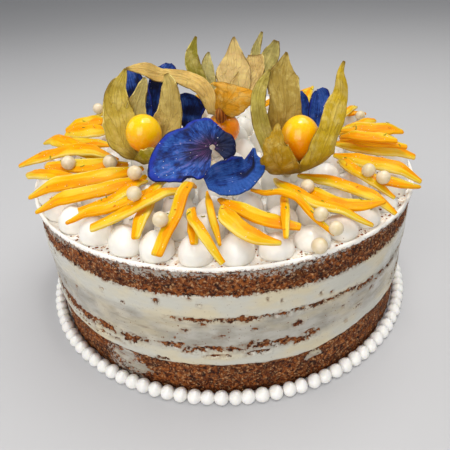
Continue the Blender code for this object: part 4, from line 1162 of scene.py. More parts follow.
def cream_field():
    """The coat, its lip and the kisses, before anything is laid on them."""
    field = HeightField(half=115.0, cell=0.5)
    inside = np.hypot(field.x, field.y)
    covered = inside < CAKE_RADIUS + 0.6
    field.z[covered] = COAT_TOP
    field.z[covered & (inside > LIP_INSIDE)] = LIP_TOP + 0.4
    field.owner[covered] = 0
    for place in kiss_places():
        field.heap_up(place[0], place[1], place[2] + KISS_MARGIN, kiss_height(place), 0)
    return field


def back_rows():
    """Rows of one or two crossing strips that carry the ring on round the back."""
    chance = random.Random(BACK_SEED)
    rows = []
    for i in range(BACK_ROWS):
        bearing = BACK_FIRST_BEARING + BACK_SPACING * i
        tip, width = chance.uniform(93, 103), chance.uniform(4.6, 6.4)
        bend, roll = chance.uniform(-3, 3), chance.uniform(-8, 8)
        peels = [(tip, bearing, tip - 40, bearing + 3, width, bend, roll, 0.4)]
        if i % 4 < 3:
            tip, width = chance.uniform(93, 103), chance.uniform(4.2, 5.4)
            roll = chance.uniform(-8, 8)
            peels.append((tip, bearing + 8, tip - 37, bearing - 7, width, -bend, roll, 0.4))
        rows.append(peels)
    return rows


def laid():
    """The field, the strips' courses by node and the pearls' places."""
    if LAID:
        return LAID
    field = cream_field()
    courses = {}
    for number, peels in enumerate([[peel] for peel in PEELS] + back_rows(), 1):
        courses[f"peel_{number:02d}"] = [lay_course(field, peel, number) for peel in peels]
    pearls = []
    for distance, bearing, radius in PEARLS:
        middle = settle_pearl(field, *bearing_point(distance, bearing), radius)
        if middle is None:
            continue
        pearls.append((middle, radius))
        peak = float(middle[2]) + radius
        field.heap_up(middle[0], middle[1], radius + 0.2, level_top(peak), PEARL_OWNER)
    LAID.update(field=field, courses=courses, pearls=pearls)
    return LAID


# Finishes: arithmetic on sockets, and one material under construction
def tone(red, green, blue):
    """A colour as read on a screen, 0 to 255, made linear."""
    shares = (red / 255, green / 255, blue / 255)
    return tuple(v / 12.92 if v <= 0.04045 else ((v + 0.055) / 1.055) ** 2.4 for v in shares)


class Tap:
    """A number that a node gives out; arithmetic on it adds the nodes that work it out."""

    def __init__(self, finish, socket):
        self.finish = finish
        self.socket = socket

    def __add__(self, other):
        return self.finish.sum("ADD", self, other)

    def __radd__(self, other):
        return self.finish.sum("ADD", other, self)

    def __sub__(self, other):
        return self.finish.sum("SUBTRACT", self, other)

    def __rsub__(self, other):
        return self.finish.sum("SUBTRACT", other, self)

    def __mul__(self, other):
        return self.finish.sum("MULTIPLY", self, other)

    def __rmul__(self, other):
        return self.finish.sum("MULTIPLY", other, self)

    def __pow__(self, other):
        return self.finish.sum("POWER", self, other)

    def __abs__(self):
        return self.finish.sum("ABSOLUTE", self)


class Finish:
    """One material under construction."""

    def __init__(self, name, **fixed):
        self.material = bpy.data.materials.new(name)
        self.material.use_nodes = True
        self.tree = self.material.node_tree
        self.shader = self.tree.nodes["Principled BSDF"]
        for socket, value in fixed.items():
            self.shader.inputs[socket.replace("_", " ")].default_value = value

    def node(self, kind, settings=None, sockets=None, output=0):
        """Adds one node: its settings first, then the values or links of its sockets."""
        made = self.tree.nodes.new(kind)
        for key, value in (settings or {}).items():
            if key == "stops":
                made.color_ramp.elements[0].position = value[0][0]
                made.color_ramp.elements[-1].position = value[-1][0]
                for spot, _ in value[1:-1]:
                    made.color_ramp.elements.new(spot)
                for element, (_, colour) in zip(made.color_ramp.elements, value):
                    element.color = (*colour, 1.0)
            else:
                setattr(made, key, value)
        for key, value in (sockets or {}).items():
            self.feed(made.inputs[key], value)
        return Tap(self, made.outputs[output])

    def feed(self, socket, value):
        """Links a tap to a socket, or sets a number or a colour on it."""
        if isinstance(value, Tap):
            self.tree.links.new(value.socket, socket)
        elif hasattr(value, "__len__") and len(value) == 3 and len(socket.default_value) == 4:
            socket.default_value = (*value, 1.0)
        else:
            socket.default_value = value

    def sum(self, operation, *values):
        return self.node("ShaderNodeMath", {"operation": operation}, dict(enumerate(values)))

    def vector_sum(self, operation, first, second):
        sockets = {0: first, "Scale" if operation == "SCALE" else 1: second}
        return self.node("ShaderNodeVectorMath", {"operation": operation}, sockets)

    def place(self):
        return self.node("ShaderNodeTexCoord", output="Object")

    def vector(self, *parts):
        return self.node("ShaderNodeCombineXYZ", None, dict(enumerate(parts)))

    def parts(self, vector):
        """The three parts of a place, or of a fact kept as a vector."""
        split = self.node("ShaderNodeSeparateXYZ", None, {0: vector})
        return [Tap(self, socket) for socket in split.socket.node.outputs]

    def fact(self, name, output="Fac"):
        return self.node("ShaderNodeAttribute", {"attribute_name": name}, output=output)

    def shifted(self, place, push, amount):
        """A place moved by an uneven colour, for edges that wander."""
        centred = self.vector_sum("SUBTRACT", push, (0.5, 0.5, 0.5))
        return self.vector_sum("ADD", place, self.vector_sum("SCALE", centred, amount))

    def mottle(self, place, scale, detail=2.0, rough=0.5, output=0):
        """Uneven values of about scale bumps to a unit; output 1 is an uneven colour."""
        sockets = {"Vector": place, "Scale": scale, "Detail": detail, "Roughness": rough}
        return self.node("ShaderNodeTexNoise", None, sockets, output)

    def noise(self, size, detail=2.0, rough=0.5, stretch=None):
        """Uneven values from 0 to 1 with bumps about size millimetres across."""
        place = self.vector_sum("MULTIPLY", self.place(), stretch) if stretch else self.place()
        return self.mottle(place, 1 / (size * MM), detail, rough)

    def cells(self, place, scale, feature="F1"):
        """The distance to the heart of the nearest cell, or to the walls between cells."""
        sockets = {"Vector": place, "Scale": scale}
        return self.node("ShaderNodeTexVoronoi", {"feature": feature}, sockets, "Distance")

    def step(self, value, low, high):
        """0 below low, 1 above high and smooth between."""
        sockets = {"Value": value, "From Min": low, "From Max": high, "To Min": 0.0, "To Max": 1.0}
        return self.node("ShaderNodeMapRange", {"interpolation_type": "SMOOTHSTEP"}, sockets)

    def fade(self, value, low, high):
        """1 below low, 0 above high and smooth between."""
        return 1 - self.step(value, low, high)

    def most(self, first, second):
        return self.sum("MAXIMUM", first, second)

    def blend(self, share, first, second):
        """A colour between two: the first at share 0, the second at share 1."""
        sockets = {0: share, 6: first, 7: second}
        return self.node("ShaderNodeMix", {"data_type": "RGBA"}, sockets, output=2)

    def over(self, colour, *layers):
        """Lays colours over one in turn, each by its own share."""
        for share, tint in layers:
            colour = self.blend(share, colour, tint)
        return colour

    def ramp(self, value, *stops):
        return self.node("ShaderNodeValToRGB", {"stops": stops}, {0: value})

    def bump(self, height, distance, strength):
        """Relief of a height, distance in millimetres where the height is 1."""
        sockets = {"Height": height, "Distance": distance * MM, "Strength": strength}
        return self.node("ShaderNodeBump", None, sockets)

    def done(self, **fed):
        for socket, value in fed.items():
            self.feed(self.shader.inputs[socket.replace("_", " ")], value)
        return self.material


# How deep light goes into soft things, in metres, by colour
IN_CREAM = {"Subsurface_Radius": (0.9, 0.75, 0.5), "Subsurface_Scale": 0.003}
IN_PEEL = {"Subsurface_Radius": (1.0, 0.42, 0.03), "Subsurface_Scale": 0.0022}
IN_SUGAR = {"Subsurface_Radius": (0.9, 0.7, 0.45), "Subsurface_Scale": 0.002}
IN_BERRY = {"Subsurface_Radius": (1.0, 0.45, 0.04), "Subsurface_Scale": 0.004}
IN_HUSK = {"Subsurface_Radius": (0.9, 0.6, 0.1), "Subsurface_Scale": 0.0012}

# Stretches of a noise: bumps drawn out round the cake, the more the harder cream was scraped
FLATTENED = (1, 1, 1.8)
SCRAPED = (0.22, 0.22, 1.5)
SMEARED = (0.30, 0.30, 1.9)


def crumb_walls(f, colours, crumb):
    """Painted shade in the hollows, and the warm walls between them."""
    return f.blend(f.step(crumb, 0.40, 0.50), colours.sponge_dark_and_hollow_shade, colours.sponge)


def bare_sponge(f, colours, crumb, push):
    """Cut crumb: hollows and pits in painted shade, walls that catch the light, dense patches
    and pale flecks.
    """
    place = f.place()

    def spots(size, wander, low, high):
        return f.fade(f.cells(f.shifted(place, push, wander), 1 / (size * MM)), low, high)

    dense = f.step(f.noise(13.0, 3, 0.6, FLATTENED), 0.44, 0.64)
    pits = spots(2.3, 0.0020, 0.16, 0.40) * f.step(f.noise(3.1, 2), 0.42, 0.60)
    dots = spots(1.75, 0.0012, 0.20, 0.36) * f.step(f.noise(2.6, 2), 0.40, 0.58)
    flecks = f.step(f.noise(1.15, 3, 0.7), 0.56, 0.62)
    rubbed = f.fact("rubbed")
    film = f.noise(1.5, 4, 0.72, (1, 1, 1.3)) + (rubbed - 0.5) * 0.30
    film = f.step(film, 0.54, 0.61) * f.step(rubbed, 0.02, 0.25)
    return f.over(
        crumb_walls(f, colours, crumb),
        (f.step(crumb, 0.51, 0.60) * 0.85, colours.sponge_light),
        (dense * 0.5, colours.sponge_dark_and_hollow_shade),
        # pits in painted shade
        (pits * 0.8, colours.sponge_dark_and_hollow_shade),
        (f.most(dots * 0.7, flecks * 0.4), colours.sponge_fleck),
        (film * 0.78, colours.scraped),
    )


def scraped_cream(f, colours, cloud, edge, thin):
    """Cream on the side: thick in the fillings, greyer and streaky where it was scraped thin."""
    warm = f.step(f.noise(23.0, 3, 0.55, FLATTENED), 0.42, 0.66)
    streak = f.step(f.noise(3.2, 3, 0.6, SCRAPED), 0.52, 0.78)
    scraped = f.over(
        f.blend(f.step(cloud, 0.35, 0.65), colours.scraped_dark, colours.scraped),
        (warm * 0.45, colours.filling_warm),
        (streak * 0.30, colours.scraped_brown),
    )
    shallow = f.fade(edge, 0.1, 1.6) * 0.5 * f.step(f.noise(2.2, 3, 0.6), 0.36, 0.62)
    smear = f.step(f.noise(7.0, 3, 0.6, SMEARED), 0.60, 0.72)
    specks = f.step(f.noise(0.9, 1, 0.5), 0.705, 0.745) * (0.35 + 0.65 * thin)
    return f.over(
        f.blend(warm * 0.75, colours.filling, colours.filling_warm),
        (thin * 0.9, scraped),
        (shallow, colours.scraped_brown),
        (smear * thin * 0.5, colours.smear),
        (specks * 0.9, colours.sponge),
    )


def side_finish(colours):
    """Bare crumb where no cream lies, and cream that shows the crumb where it is scraped thin."""
    f = Finish("side_of_cake", Specular_IOR_Level=0.3, Coat_Roughness=0.14)
    edge = f.fact("cover") + (f.noise(1.3, 4, 0.7) - 0.5) * 3.4
    creamed = f.step(edge, -0.12, 0.14)
    crumb = f.noise(1.9, 4, 0.72)
    push = f.mottle(f.place(), 700.0, output=1)
    cloud = f.noise(11.0, 3, 0.55, FLATTENED)
    sponge = bare_sponge(f, colours, crumb, push)
    cream = scraped_cream(f, colours, cloud, edge, f.fact("thin"))
    gloss = 0.78 + (0.24 - 0.78) * creamed + 0.16 * f.noise(6.0, 2) * creamed
    hollow = f.cells(f.shifted(f.place(), push, 0.0016), 1 / (2.1 * MM))
    rough_relief = crumb * 0.9 + f.step(hollow, 0.1, 0.6) * 0.5
    soft_relief = 0.55 + 0.22 * f.noise(4.0, 3, 0.5, (0.4, 0.4, 1.4)) + 0.06 * cloud
    relief = (1 - creamed) * rough_relief + creamed * soft_relief
    wet = creamed * f.step(f.noise(5.0, 2, 0.5, (0.5, 0.5, 1.6)), 0.42, 0.58) * 0.8
    return f.done(Base_Color=f.blend(creamed, sponge, cream), Roughness=gloss,
                  Coat_Weight=wet, Normal=f.bump(relief, 0.75, 0.9))


def cream_finish(name, light, shade, rough):
    """Piped cream: soft clouds, fine pores and wet places."""
    f = Finish(name, Subsurface_Weight=0.18, Specular_IOR_Level=0.45, Coat_Roughness=0.16,
               **IN_CREAM)
    pores = f.noise(0.7, 2, 0.5)
    clouds = f.step(f.noise(9.0, 3, 0.5), 0.35, 0.7)
    colour = f.over(light, (clouds * 0.6, shade), (f.step(pores, 0.70, 0.82) * 0.25, shade))
    gloss = rough + 0.14 * (f.noise(5.0, 2) - 0.5)
    relief = f.noise(3.4, 3, 0.5) * 0.7 + pores * 0.16
    wet = f.step(f.noise(4.5, 2), 0.44, 0.58) * 0.45
    return f.done(Base_Color=colour, Roughness=gloss, Coat_Weight=wet,
                  Normal=f.bump(relief, 0.42, 0.8))


def coat_finish(colours):
    """The cream top: white at its lip, with crumb rubbed into it, and bare below the lip."""
    f = Finish("top_coat", Subsurface_Weight=0.12, Specular_IOR_Level=0.5, **IN_CREAM)
    x, y, height = f.parts(f.place())
    flat = f.fade(height, 0.0716, 0.0722)
    rubbed = f.step(f.noise(2.4, 4, 0.7), 0.50, 0.66) * flat
    grit = f.step(f.noise(0.8, 2, 0.6), 0.60, 0.72) * flat
    outside = f.step((x * x + y * y) ** 0.5, 0.0992, 0.0997)
    level = height + (f.noise(5.0, 3, 0.6) - 0.5) * 0.0030
    level = level + (f.noise(1.3, 3, 0.7) - 0.5) * 0.0040
    bare = outside * f.fade(level, 0.0706, 0.0715)
    crumb = f.noise(1.9, 4, 0.72)
    flecks = f.step(crumb, 0.53, 0.61) * 0.7
    colour = f.over(
        colours.kiss,
        (rubbed * 0.75, colours.rubbed_crumb),
        (grit * 0.5, colours.sponge_light),
        # bare crumb below the lip, with painted shade in its hollows
        (bare, f.over(crumb_walls(f, colours, crumb), (flecks, colours.sponge_fleck))),
    )
    gloss = 0.34 + 0.2 * rubbed + 0.4 * bare
    relief = f.noise(2.6, 3, 0.5) * 0.8 + f.noise(0.7, 2) * 0.2 + bare * crumb
    return f.done(Base_Color=colour, Roughness=gloss, Normal=f.bump(relief, 0.4, 0.7))


def peel_finish(colours):
    """Candied peel: each strip runs from orange skin at one edge to pale pulp at the other, with
    a thin line of painted highlight near the skin edge.
    """
    f = Finish("candied_peel", Subsurface_Weight=0.25, Specular_IOR_Level=0.07,
               Coat_Roughness=0.06, **IN_PEEL)
    across, along, rise = f.parts(f.fact("place", "Vector"))
    lot = f.fact("lot")
    drift = f.mottle(f.vector(across * 0.30, along * 0.07, lot * 40), 1.0, 1.0)
    fibre = f.mottle(f.vector(across * 2.6, along * 0.10, lot * 23), 1.0, 2.0)
    edge = across * (f.step(lot, 0.45, 0.55) * 2 - 1)
    inner = f.step(edge + (drift - 0.5) * 1.7 + (lot - 0.5) * 0.4, -0.06, 0.20)
    skin = f.step(fibre * 0.6 + drift * 0.4, 0.38, 0.62)
    skin = f.blend(skin, colours.peel_deep, colours.peel_skin)
    flesh = f.step(fibre * 0.5 + drift * 0.5, 0.40, 0.64)
    flesh = f.blend(flesh, colours.peel_flesh, colours.peel_pale)
    pith = f.step(edge + (fibre - 0.5) * 0.5, 0.70, 0.98) * f.step(rise, -0.2, 0.5)
    # A thin line of painted highlight near the skin edge, on the upper face only
    edge_highlight = f.fade(abs(edge + 0.86), 0.0, 0.10) * 0.35 * f.step(rise, 0.0, 0.5)
    glands = f.cells(f.place(), 1 / MM)
    colour = f.over(
        f.blend(inner, skin, flesh),
        (pith * 0.55, colours.peel_pith),
        (edge_highlight, colours.peel_pale),
        (f.fade(glands, 0.08, 0.40) * 0.14, colours.peel_pale),
    )
    gloss = 0.30 + 0.24 * f.noise(4.0, 2)
    relief = f.step(glands, 0.05, 0.5) * 0.25 + fibre * 0.9 + inner * 0.5
    wet = 0.02 + 0.28 * f.step(f.noise(1.9, 2), 0.60, 0.70)
    return f.done(Base_Color=colour, Roughness=gloss, Coat_Weight=wet,
                  Normal=f.bump(relief, 0.28, 0.6))


def pearl_finish(colours):
    """Sugar pearls: a smooth shell with faint clouds and a few specks."""
    f = Finish("sugar_pearl", Subsurface_Weight=0.1, Specular_IOR_Level=0.55,
               Coat_Roughness=0.25, Coat_Weight=0.25, **IN_SUGAR)
    cloud = f.noise(3.5, 3, 0.5)
    specks = f.step(f.noise(0.5, 2), 0.68, 0.78)
    colour = f.over(
        colours.pearl,
        (f.step(cloud, 0.35, 0.65), colours.pearl_pale),
        (specks * 0.15, colours.pearl_shade),
    )
    relief = f.noise(0.8, 3, 0.6) * 0.5 + cloud * 0.5
    return f.done(Base_Color=colour, Roughness=0.34 + 0.12 * cloud,
                  Normal=f.bump(relief, 0.12, 0.5))


def berry_finish(colours):
    """Glossy skin, deeper orange low down, with faint veins under it."""
    f = Finish("berry_skin", Subsurface_Weight=0.35, Specular_IOR_Level=0.15,
               Coat_Roughness=0.04, Coat_Weight=0.7, **IN_BERRY)
    cloud = f.noise(6.0, 3, 0.5)
    low = f.step(f.fact("low") + (cloud - 0.5) * 0.5, 0.15, 0.95)
    veins = f.fade(f.cells(f.place(), 1 / (3.4 * MM), "DISTANCE_TO_EDGE"), 0.0, 0.09)
    specks = f.step(f.noise(0.55, 2), 0.66, 0.78)
    colour = f.over(
        colours.berry,
        (low, colours.berry_low),
        (veins * 0.12, colours.berry_pale),
        (specks * 0.18, colours.berry_pale),
    )
    relief = cloud * 0.8 + f.noise(0.7, 2) * 0.2
    return f.done(Base_Color=colour, Roughness=0.22 + 0.14 * cloud,
                  Normal=f.bump(relief, 0.18, 0.5))


def husk_finish(name, deep, pale):
    """Papery husk: wandering veins, a soft rib, blotches and rims that turn dark or pale."""
    f = Finish(name, Subsurface_Weight=0.18, Specular_IOR_Level=0.2, **IN_HUSK)
    u, s, lobe = f.parts(f.fact("leaf", "Vector"))
    out = abs(u)
    spread = f.vector(u * 1.7 + lobe * 3.1, s * 5.0 - out * 1.8, lobe * 5.0)
    net = f.shifted(spread, f.mottle(spread, 1.3, output=1), 0.9)
    veins = f.fade(f.cells(net, 1.0, "DISTANCE_TO_EDGE"), 0.0, 0.045)
    fine_veins = f.fade(f.cells(net, 3.1, "DISTANCE_TO_EDGE"), 0.0, 0.09)
    rib = f.fade(out, 0.0, 0.05)
    lines = f.most(rib * 0.6, f.most(veins * 0.75, fine_veins * 0.22))
    cloud = f.noise(5.0, 3, 0.6)
    blot = f.noise(8.0, 3, 0.55, (1, 1, 0.55))
    fleck = f.noise(1.1, 3, 0.65)
    rim_tone = f.blend(f.step(blot + (cloud - 0.5) * 0.5, 0.42, 0.52), pale, deep)
    rim = f.step(out + (cloud - 0.5) * 0.10, 0.95, 0.995)
    colour = f.over(
        f.fact("tint", "Vector"),
        (f.step(cloud, 0.42, 0.70) * 0.40, pale),
        (f.step(blot, 0.46, 0.68) * 0.26, deep),
        (f.step(fleck, 0.55, 0.75) * 0.14, pale),
        (lines * 0.48, deep),
        (f.fade(s, 0.0, 0.25) * 0.45, deep),
        (rim * 0.65, rim_tone),
        (f.step(s, 0.93, 1.0) * 0.8, deep),
    )
    fibre = f.noise(0.6, 2, 0.6)
    relief = lines * 0.6 + fibre * 0.25 + cloud * 0.7 + fleck * 0.3
    return f.done(Base_Color=colour, Roughness=0.55 + 0.2 * fibre,
                  Normal=f.bump(relief, 0.36, 0.8))


def petal_finish(colours):
    """Blue petals: fine wrinkles that spread from the claw, with painted light and shade on them,
    a purple heart, bright and dark rims, and painted shade on the large petal's flap that bends
    away, in the hollow of the cupped one and in patches on those behind. The kind is 0 for the
    large petal, 1 for the cupped one, 2 to 4 for those behind."""
    f = Finish("blue_petal", Specular_IOR_Level=0.22)
    u, q, kind = f.parts(f.fact("leaf", "Vector"))
    large = f.fade(kind, 0.5, 0.6)
    cup = f.step(kind, 0.5, 0.6) * f.fade(kind, 1.5, 1.6)
    behind = f.step(kind, 1.5, 1.6) * f.fade(kind, 4.5, 4.6)
    fan = f.vector(u * 9.0, q * 1.3, kind * 3.0)
    fan = f.shifted(fan, f.mottle(fan, 0.9, 3.0, output=1), 1.6)
    rays = f.mottle(fan, 2.4, 4.0, 0.7)
    cloud = f.noise(5.0, 3, 0.6)
    # Patches of painted shade on the petals behind, where they are crumpled
    patch = f.step(f.noise(7.0, 2, 0.5), 0.40, 0.62)
    # Painted light and shade on the wrinkles, on the same noise as their relief: dark in the
    # creases, light and pale on the raised folds
    shade = f.step(rays * 0.55 + cloud * 0.45 - behind * patch * 0.12, 0.36, 0.64)
    wrinkle_light_and_shade = f.ramp(shade, (0.0, colours.petal_crease_shade), (0.38, colours.petal),
                      (0.80, colours.petal_light), (1.0, colours.petal_fold_highlight))
    heart = f.fade(q + (rays - 0.5) * 0.5, 0.16, 0.66) * large
    purple = f.blend(f.step(rays, 0.46, 0.68), colours.petal_heart, colours.petal_pink)
    brim = q * large + abs(u) * (1 - large) + (cloud - 0.5) * 0.10
    torn = f.step(brim + (rays - 0.5) * 0.06, 0.965, 0.995)
    # Painted shade on the right side of the large petal, which bends away
    flap_shade = f.step(u, 0.10, 0.42) * large * f.step(q, 0.05, 0.3)
    turned = cup * f.step(u, 0.36, 0.44)
    ribs = f.step(f.sum("SINE", q * 150 + rays * 9), -0.3, 0.8)
    # Painted shade in the hollow of the cupped petal
    hollow = cup * f.fade(abs(u - 0.12), 0.05, 0.22) * f.step(q, 0.42, 0.62)
    colour = f.over(
        wrinkle_light_and_shade,
        (heart * 0.95, purple),
        (behind * patch * 0.55, colours.petal_shade_and_dark_rim),
        (f.step(brim, 0.86, 0.94) * 0.75, colours.petal_rim),
        (torn * 0.85, colours.petal_shade_and_dark_rim),
        (flap_shade * 0.86, colours.petal_shade_and_dark_rim),
        (cup * f.step(cloud, 0.40, 0.62) * 0.45, colours.petal_light),
        (turned * (0.45 + 0.45 * ribs), colours.petal_light),
        (hollow * 0.92, colours.petal_shade_and_dark_rim),
    )
    relief = rays * 0.8 + f.noise(0.8, 3, 0.6) * 0.3 + cloud * 0.3 + turned * ribs * 0.25
    return f.done(Base_Color=colour, Roughness=0.42 + 0.25 * rays,
                  Normal=f.bump(relief, 0.7, 0.9))


def grain_finish(name, light, dark, size, rough):
    """Crumbs, zest and sugar: two tones in spots about size millimetres across."""
    f = Finish(name, Specular_IOR_Level=0.4)
    value = f.noise(size, 3, 0.6)
    colour = f.blend(f.step(value, 0.38, 0.62), dark, light)
    return f.done(Base_Color=colour, Roughness=rough + 0.1 * value,
                  Normal=f.bump(value, size * 0.3, 0.6))


# What a user would change
def swatch(title, value, text):
    return FloatVectorProperty(name=title, description=text, default=tone(*value), size=3,
                               subtype="COLOR", min=0.0, max=1.0)


def count(title, value, text, low):
    return IntProperty(name=title, description=text, default=value, min=low)


class CakeColours(PropertyGroup):
    sponge: swatch("Sponge", (110, 50, 8), "Cut crumb of the sponge")
    # The crumb's hollows and pits in painted shade, and the own dark tone of dense patches
    sponge_dark_and_hollow_shade: swatch("Sponge hollows", (42, 13, 0), "Hollows between the crumbs")
    sponge_light: swatch("Sponge light", (162, 94, 38), "Crumb walls that catch the light")
    sponge_fleck: swatch("Sponge flecks", (208, 162, 114), "Pale flecks in the crumb")
    filling: swatch("Filling", (200, 198, 186), "Thick cream between the sponges")
    filling_warm: swatch("Filling, warm", (214, 200, 164), "Warmer clouds in the thick cream")
    scraped: swatch("Scraped cream", (182, 178, 168), "Cream scraped thin over the sponge")
    scraped_dark: swatch("Scraped cream, darker", (150, 144, 131), "Where cream is thinnest")
    scraped_brown: swatch("Crumb through cream", (150, 122, 96), "Sponge seen through cream")
    smear: swatch("Dark smears", (128, 116, 102), "Dark smears in the scraped cream")
    rubbed_crumb: swatch("Rubbed crumb", (214, 178, 132), "Crumb rubbed into the cream top")
    kiss: swatch("Kisses", (246, 243, 236), "Piped cream in the light")
    kiss_shade: swatch("Kisses, warm", (234, 230, 219), "Warmer clouds in the piped cream")
    bead: swatch("Beads", (250, 248, 243), "Beads round the foot")
    bead_shade: swatch("Beads, cool", (236, 234, 230), "Cooler clouds in the beads")
    peel_deep: swatch("Peel, deep orange", (228, 142, 0), "The deepest orange of the candied peel")
    peel_skin: swatch("Peel, orange", (236, 166, 0), "The peel's orange skin")
    peel_flesh: swatch("Peel, yellow", (218, 170, 0), "The peel's yellow flesh")
    peel_pale: swatch("Peel, pale yellow", (226, 194, 56), "The peel's paler streaks")
    peel_pith: swatch("Peel, pith", (238, 222, 140), "The line of pith along an edge")
    pearl: swatch("Pearls", (214, 196, 154), "Sugar pearls")
    pearl_pale: swatch("Pearls, pale", (226, 210, 182), "Paler clouds on the pearls")
    pearl_shade: swatch("Pearls, specks", (196, 168, 120), "Specks on the pearls")
    berry: swatch("Berries", (255, 200, 0), "Skin of the ground cherries")
    berry_low: swatch("Berries, low", (244, 138, 0), "Deeper orange low on the berries")
    berry_pale: swatch("Berries, veins", (254, 212, 80), "Veins and specks of the berries")
    petal: swatch("Petals", (22, 54, 132), "Middle blue of the petals")
    # Painted shade in the petals' creases
    petal_crease_shade: swatch("Petals, dark", (10, 20, 70), "Wrinkles of the petals")
    # Painted light on the petals' raised folds, lighter still on the palest
    petal_light: swatch("Petals, light", (46, 92, 172), "Raised folds of the petals")
    petal_fold_highlight: swatch("Petals, pale", (98, 100, 170), "Palest folds of the petals")
    petal_rim: swatch("Petals, rim", (16, 40, 158), "Vivid rim of the petals")
    petal_heart: swatch("Petals, heart", (24, 16, 46), "Purple heart of the large petal")
    petal_pink: swatch("Petals, pink", (96, 50, 96), "Pink streaks by the claw")
    # Painted shade on the large petal's flap, the cupped petal's hollow and the petals behind, and
    # the own dark colour of torn rims
    petal_shade_and_dark_rim: swatch("Petals, shaded flap", (10, 12, 34), "The dark flap of the large petal")
    zest: swatch("Zest", (164, 160, 10), "Fine shreds of zest")
    zest_orange: swatch("Zest, orange", (226, 150, 8), "Orange shreds of zest")
    floor: swatch("Floor", (194, 194, 196), "Floor and surroundings")


class CakeSizes(PropertyGroup):
    side_cell: FloatProperty(
        name="Crumb cell", description="Spacing of the points on the cake's side",
        default=0.58 * MM, min=0.1 * MM, unit="LENGTH", precision=4,
    )
    kiss_sides: count("Kiss sides", 28, "Sides of a piped kiss", 8)
    bead_sides: count("Bead sides", 18, "Sides of a bead", 8)
    strip_stations: count("Strip stations", 56, "Rings along a strip", 16)
    strip_sides: count("Strip sides", 16, "Points round a strip", 8)
    lobe_rows: count("Lobe rows", 64, "Rows of points along a lobe", 8)
    lobe_columns: count("Lobe columns", 25, "Points across a lobe or a small petal", 5)
    petal_rows: count("Petal rows", 44, "Rows of points along a small petal", 8)
    zest_count: count("Zest shreds", 190, "How many shreds of zest", 1)
    crumb_count: count("Crumbs", 420, "How many loose crumbs", 1)
    sugar_count: count("Sugar grains", 520, "How many grains of sugar", 1)


def colours():
    return bpy.context.scene.cake_colours


def sizes():
    return bpy.context.scene.cake_sizes


# Colours of the lobes in turn, each set to how light or dark that lobe looks: the paper's own
# tone with painted light and shade in it
HUSK_TINTS = {
    "left": ((150, 138, 14), (188, 164, 90), (176, 160, 96), (184, 160, 60)),
    "right": ((190, 158, 24), (160, 134, 58), (172, 156, 66), (172, 132, 4)),
    "middle": (
        (212, 174, 96), (206, 142, 14), (164, 152, 84), (206, 174, 108),
        (180, 168, 100), (208, 178, 116), (180, 170, 108), (134, 124, 30),
    ),
}


class CAKE_OT_layers(Operator):
    """Sponge layers and fillings, one piece each, with the cream scraped over their side"""

    bl_idname = "cake.layers"
    bl_label = "Layers and fillings"

    def execute(self, context):
        material = side_finish(colours())
        cell = sizes().side_cell / MM
        sides = int(2 * math.pi * CAKE_RADIUS / cell)
        for name, low, high in LAYERS:
            points, faces, facts = layer_body(low, high, sides, cell)
            kind = "sponge" if name.startswith("sponge") else "filling"
            piece("side_" + name, points, faces, material, facts, (name,), kind)
        return {"FINISHED"}


class CAKE_OT_cream_top(Operator):
    """Cream coat with its lip, and the piped kisses on it"""

    bl_idname = "cake.cream_top"
    bl_label = "Cream top and kisses"

    def execute(self, context):
        points, faces = coat_body(COAT_SIDES)
        piece("cream_coat", points, faces, coat_finish(colours()), None, ("top_cream",), "cream")
        material = cream_finish("kiss_cream", colours().kiss, colours().kiss_shade, rough=0.40)
        points, faces, facts = joined(kiss_bodies(sizes().kiss_sides))
        piece("piped_kisses", points, faces, material, facts, ("top_cream",), "cream")
        return {"FINISHED"}


class CAKE_OT_beads(Operator):
    """Border of small piped beads round the foot"""

    bl_idname = "cake.beads"
    bl_label = "Bead border"

    def execute(self, context):
        material = cream_finish("bead_cream", colours().bead, colours().bead_shade, rough=0.36)
        points, faces, facts = joined(bead_bodies(sizes().bead_sides))
        piece("foot_beads", points, faces, material, facts, ("bead_border",), "bead")
        return {"FINISHED"}


class CAKE_OT_peel(Operator):
    """Strips of candied peel, one piece for each of their solids"""

    bl_idname = "cake.peel"
    bl_label = "Candied peel"

    def execute(self, context):
        material = peel_finish(colours())
        seed = 0
        for name, courses in laid()["courses"].items():
            bodies = []
            for course in courses:
                seed += 1
                counts = (sizes().strip_stations, sizes().strip_sides)
                bodies.append(strip_body(course, *counts, seed))
            points, faces, facts = joined(bodies)
            piece(name.replace("peel", "strip"), points, faces, material, facts, (name,), "peel")
        return {"FINISHED"}


class CAKE_OT_pearls(Operator):
    """Sugar pearls on the kisses and strips"""

    bl_idname = "cake.pearls"
    bl_label = "Sugar pearls"

    def execute(self, context):
        bodies = []
        for number, (middle, radius) in enumerate(laid()["pearls"]):
            size = (radius,) * 3
            bodies.append(ball_body(middle, size, sides=32, rows=20, wave=0.02, seed=number))
        points, faces, _ = joined(bodies)
        piece("sugar_pearls", points, faces, pearl_finish(colours()), None, (), "cream")
        return {"FINISHED"}


class CAKE_OT_berries(Operator):
    """Ground cherries"""

    bl_idname = "cake.berries"
    bl_label = "Ground cherries"

    def execute(self, context):
        material = berry_finish(colours())
        deeper = {"middle": 0.6, "right": 0.25, "left": 0.0}
        for number, (name, (middle, half_width, half_height)) in enumerate(BERRIES.items()):
            size = (half_width, half_width, half_height)
            points, faces = ball_body(middle, size, sides=56, rows=36, wave=0.025, seed=number)
            low = np.clip((middle[2] - points[:, 2]) / half_height, -1, 1)
            facts = {"low": np.clip(low * 0.5 + 0.5 + deeper[name], 0, 1)}
            piece("cherry_" + name, points, faces, material, facts, ("berry_" + name,), "berry")
        return {"FINISHED"}


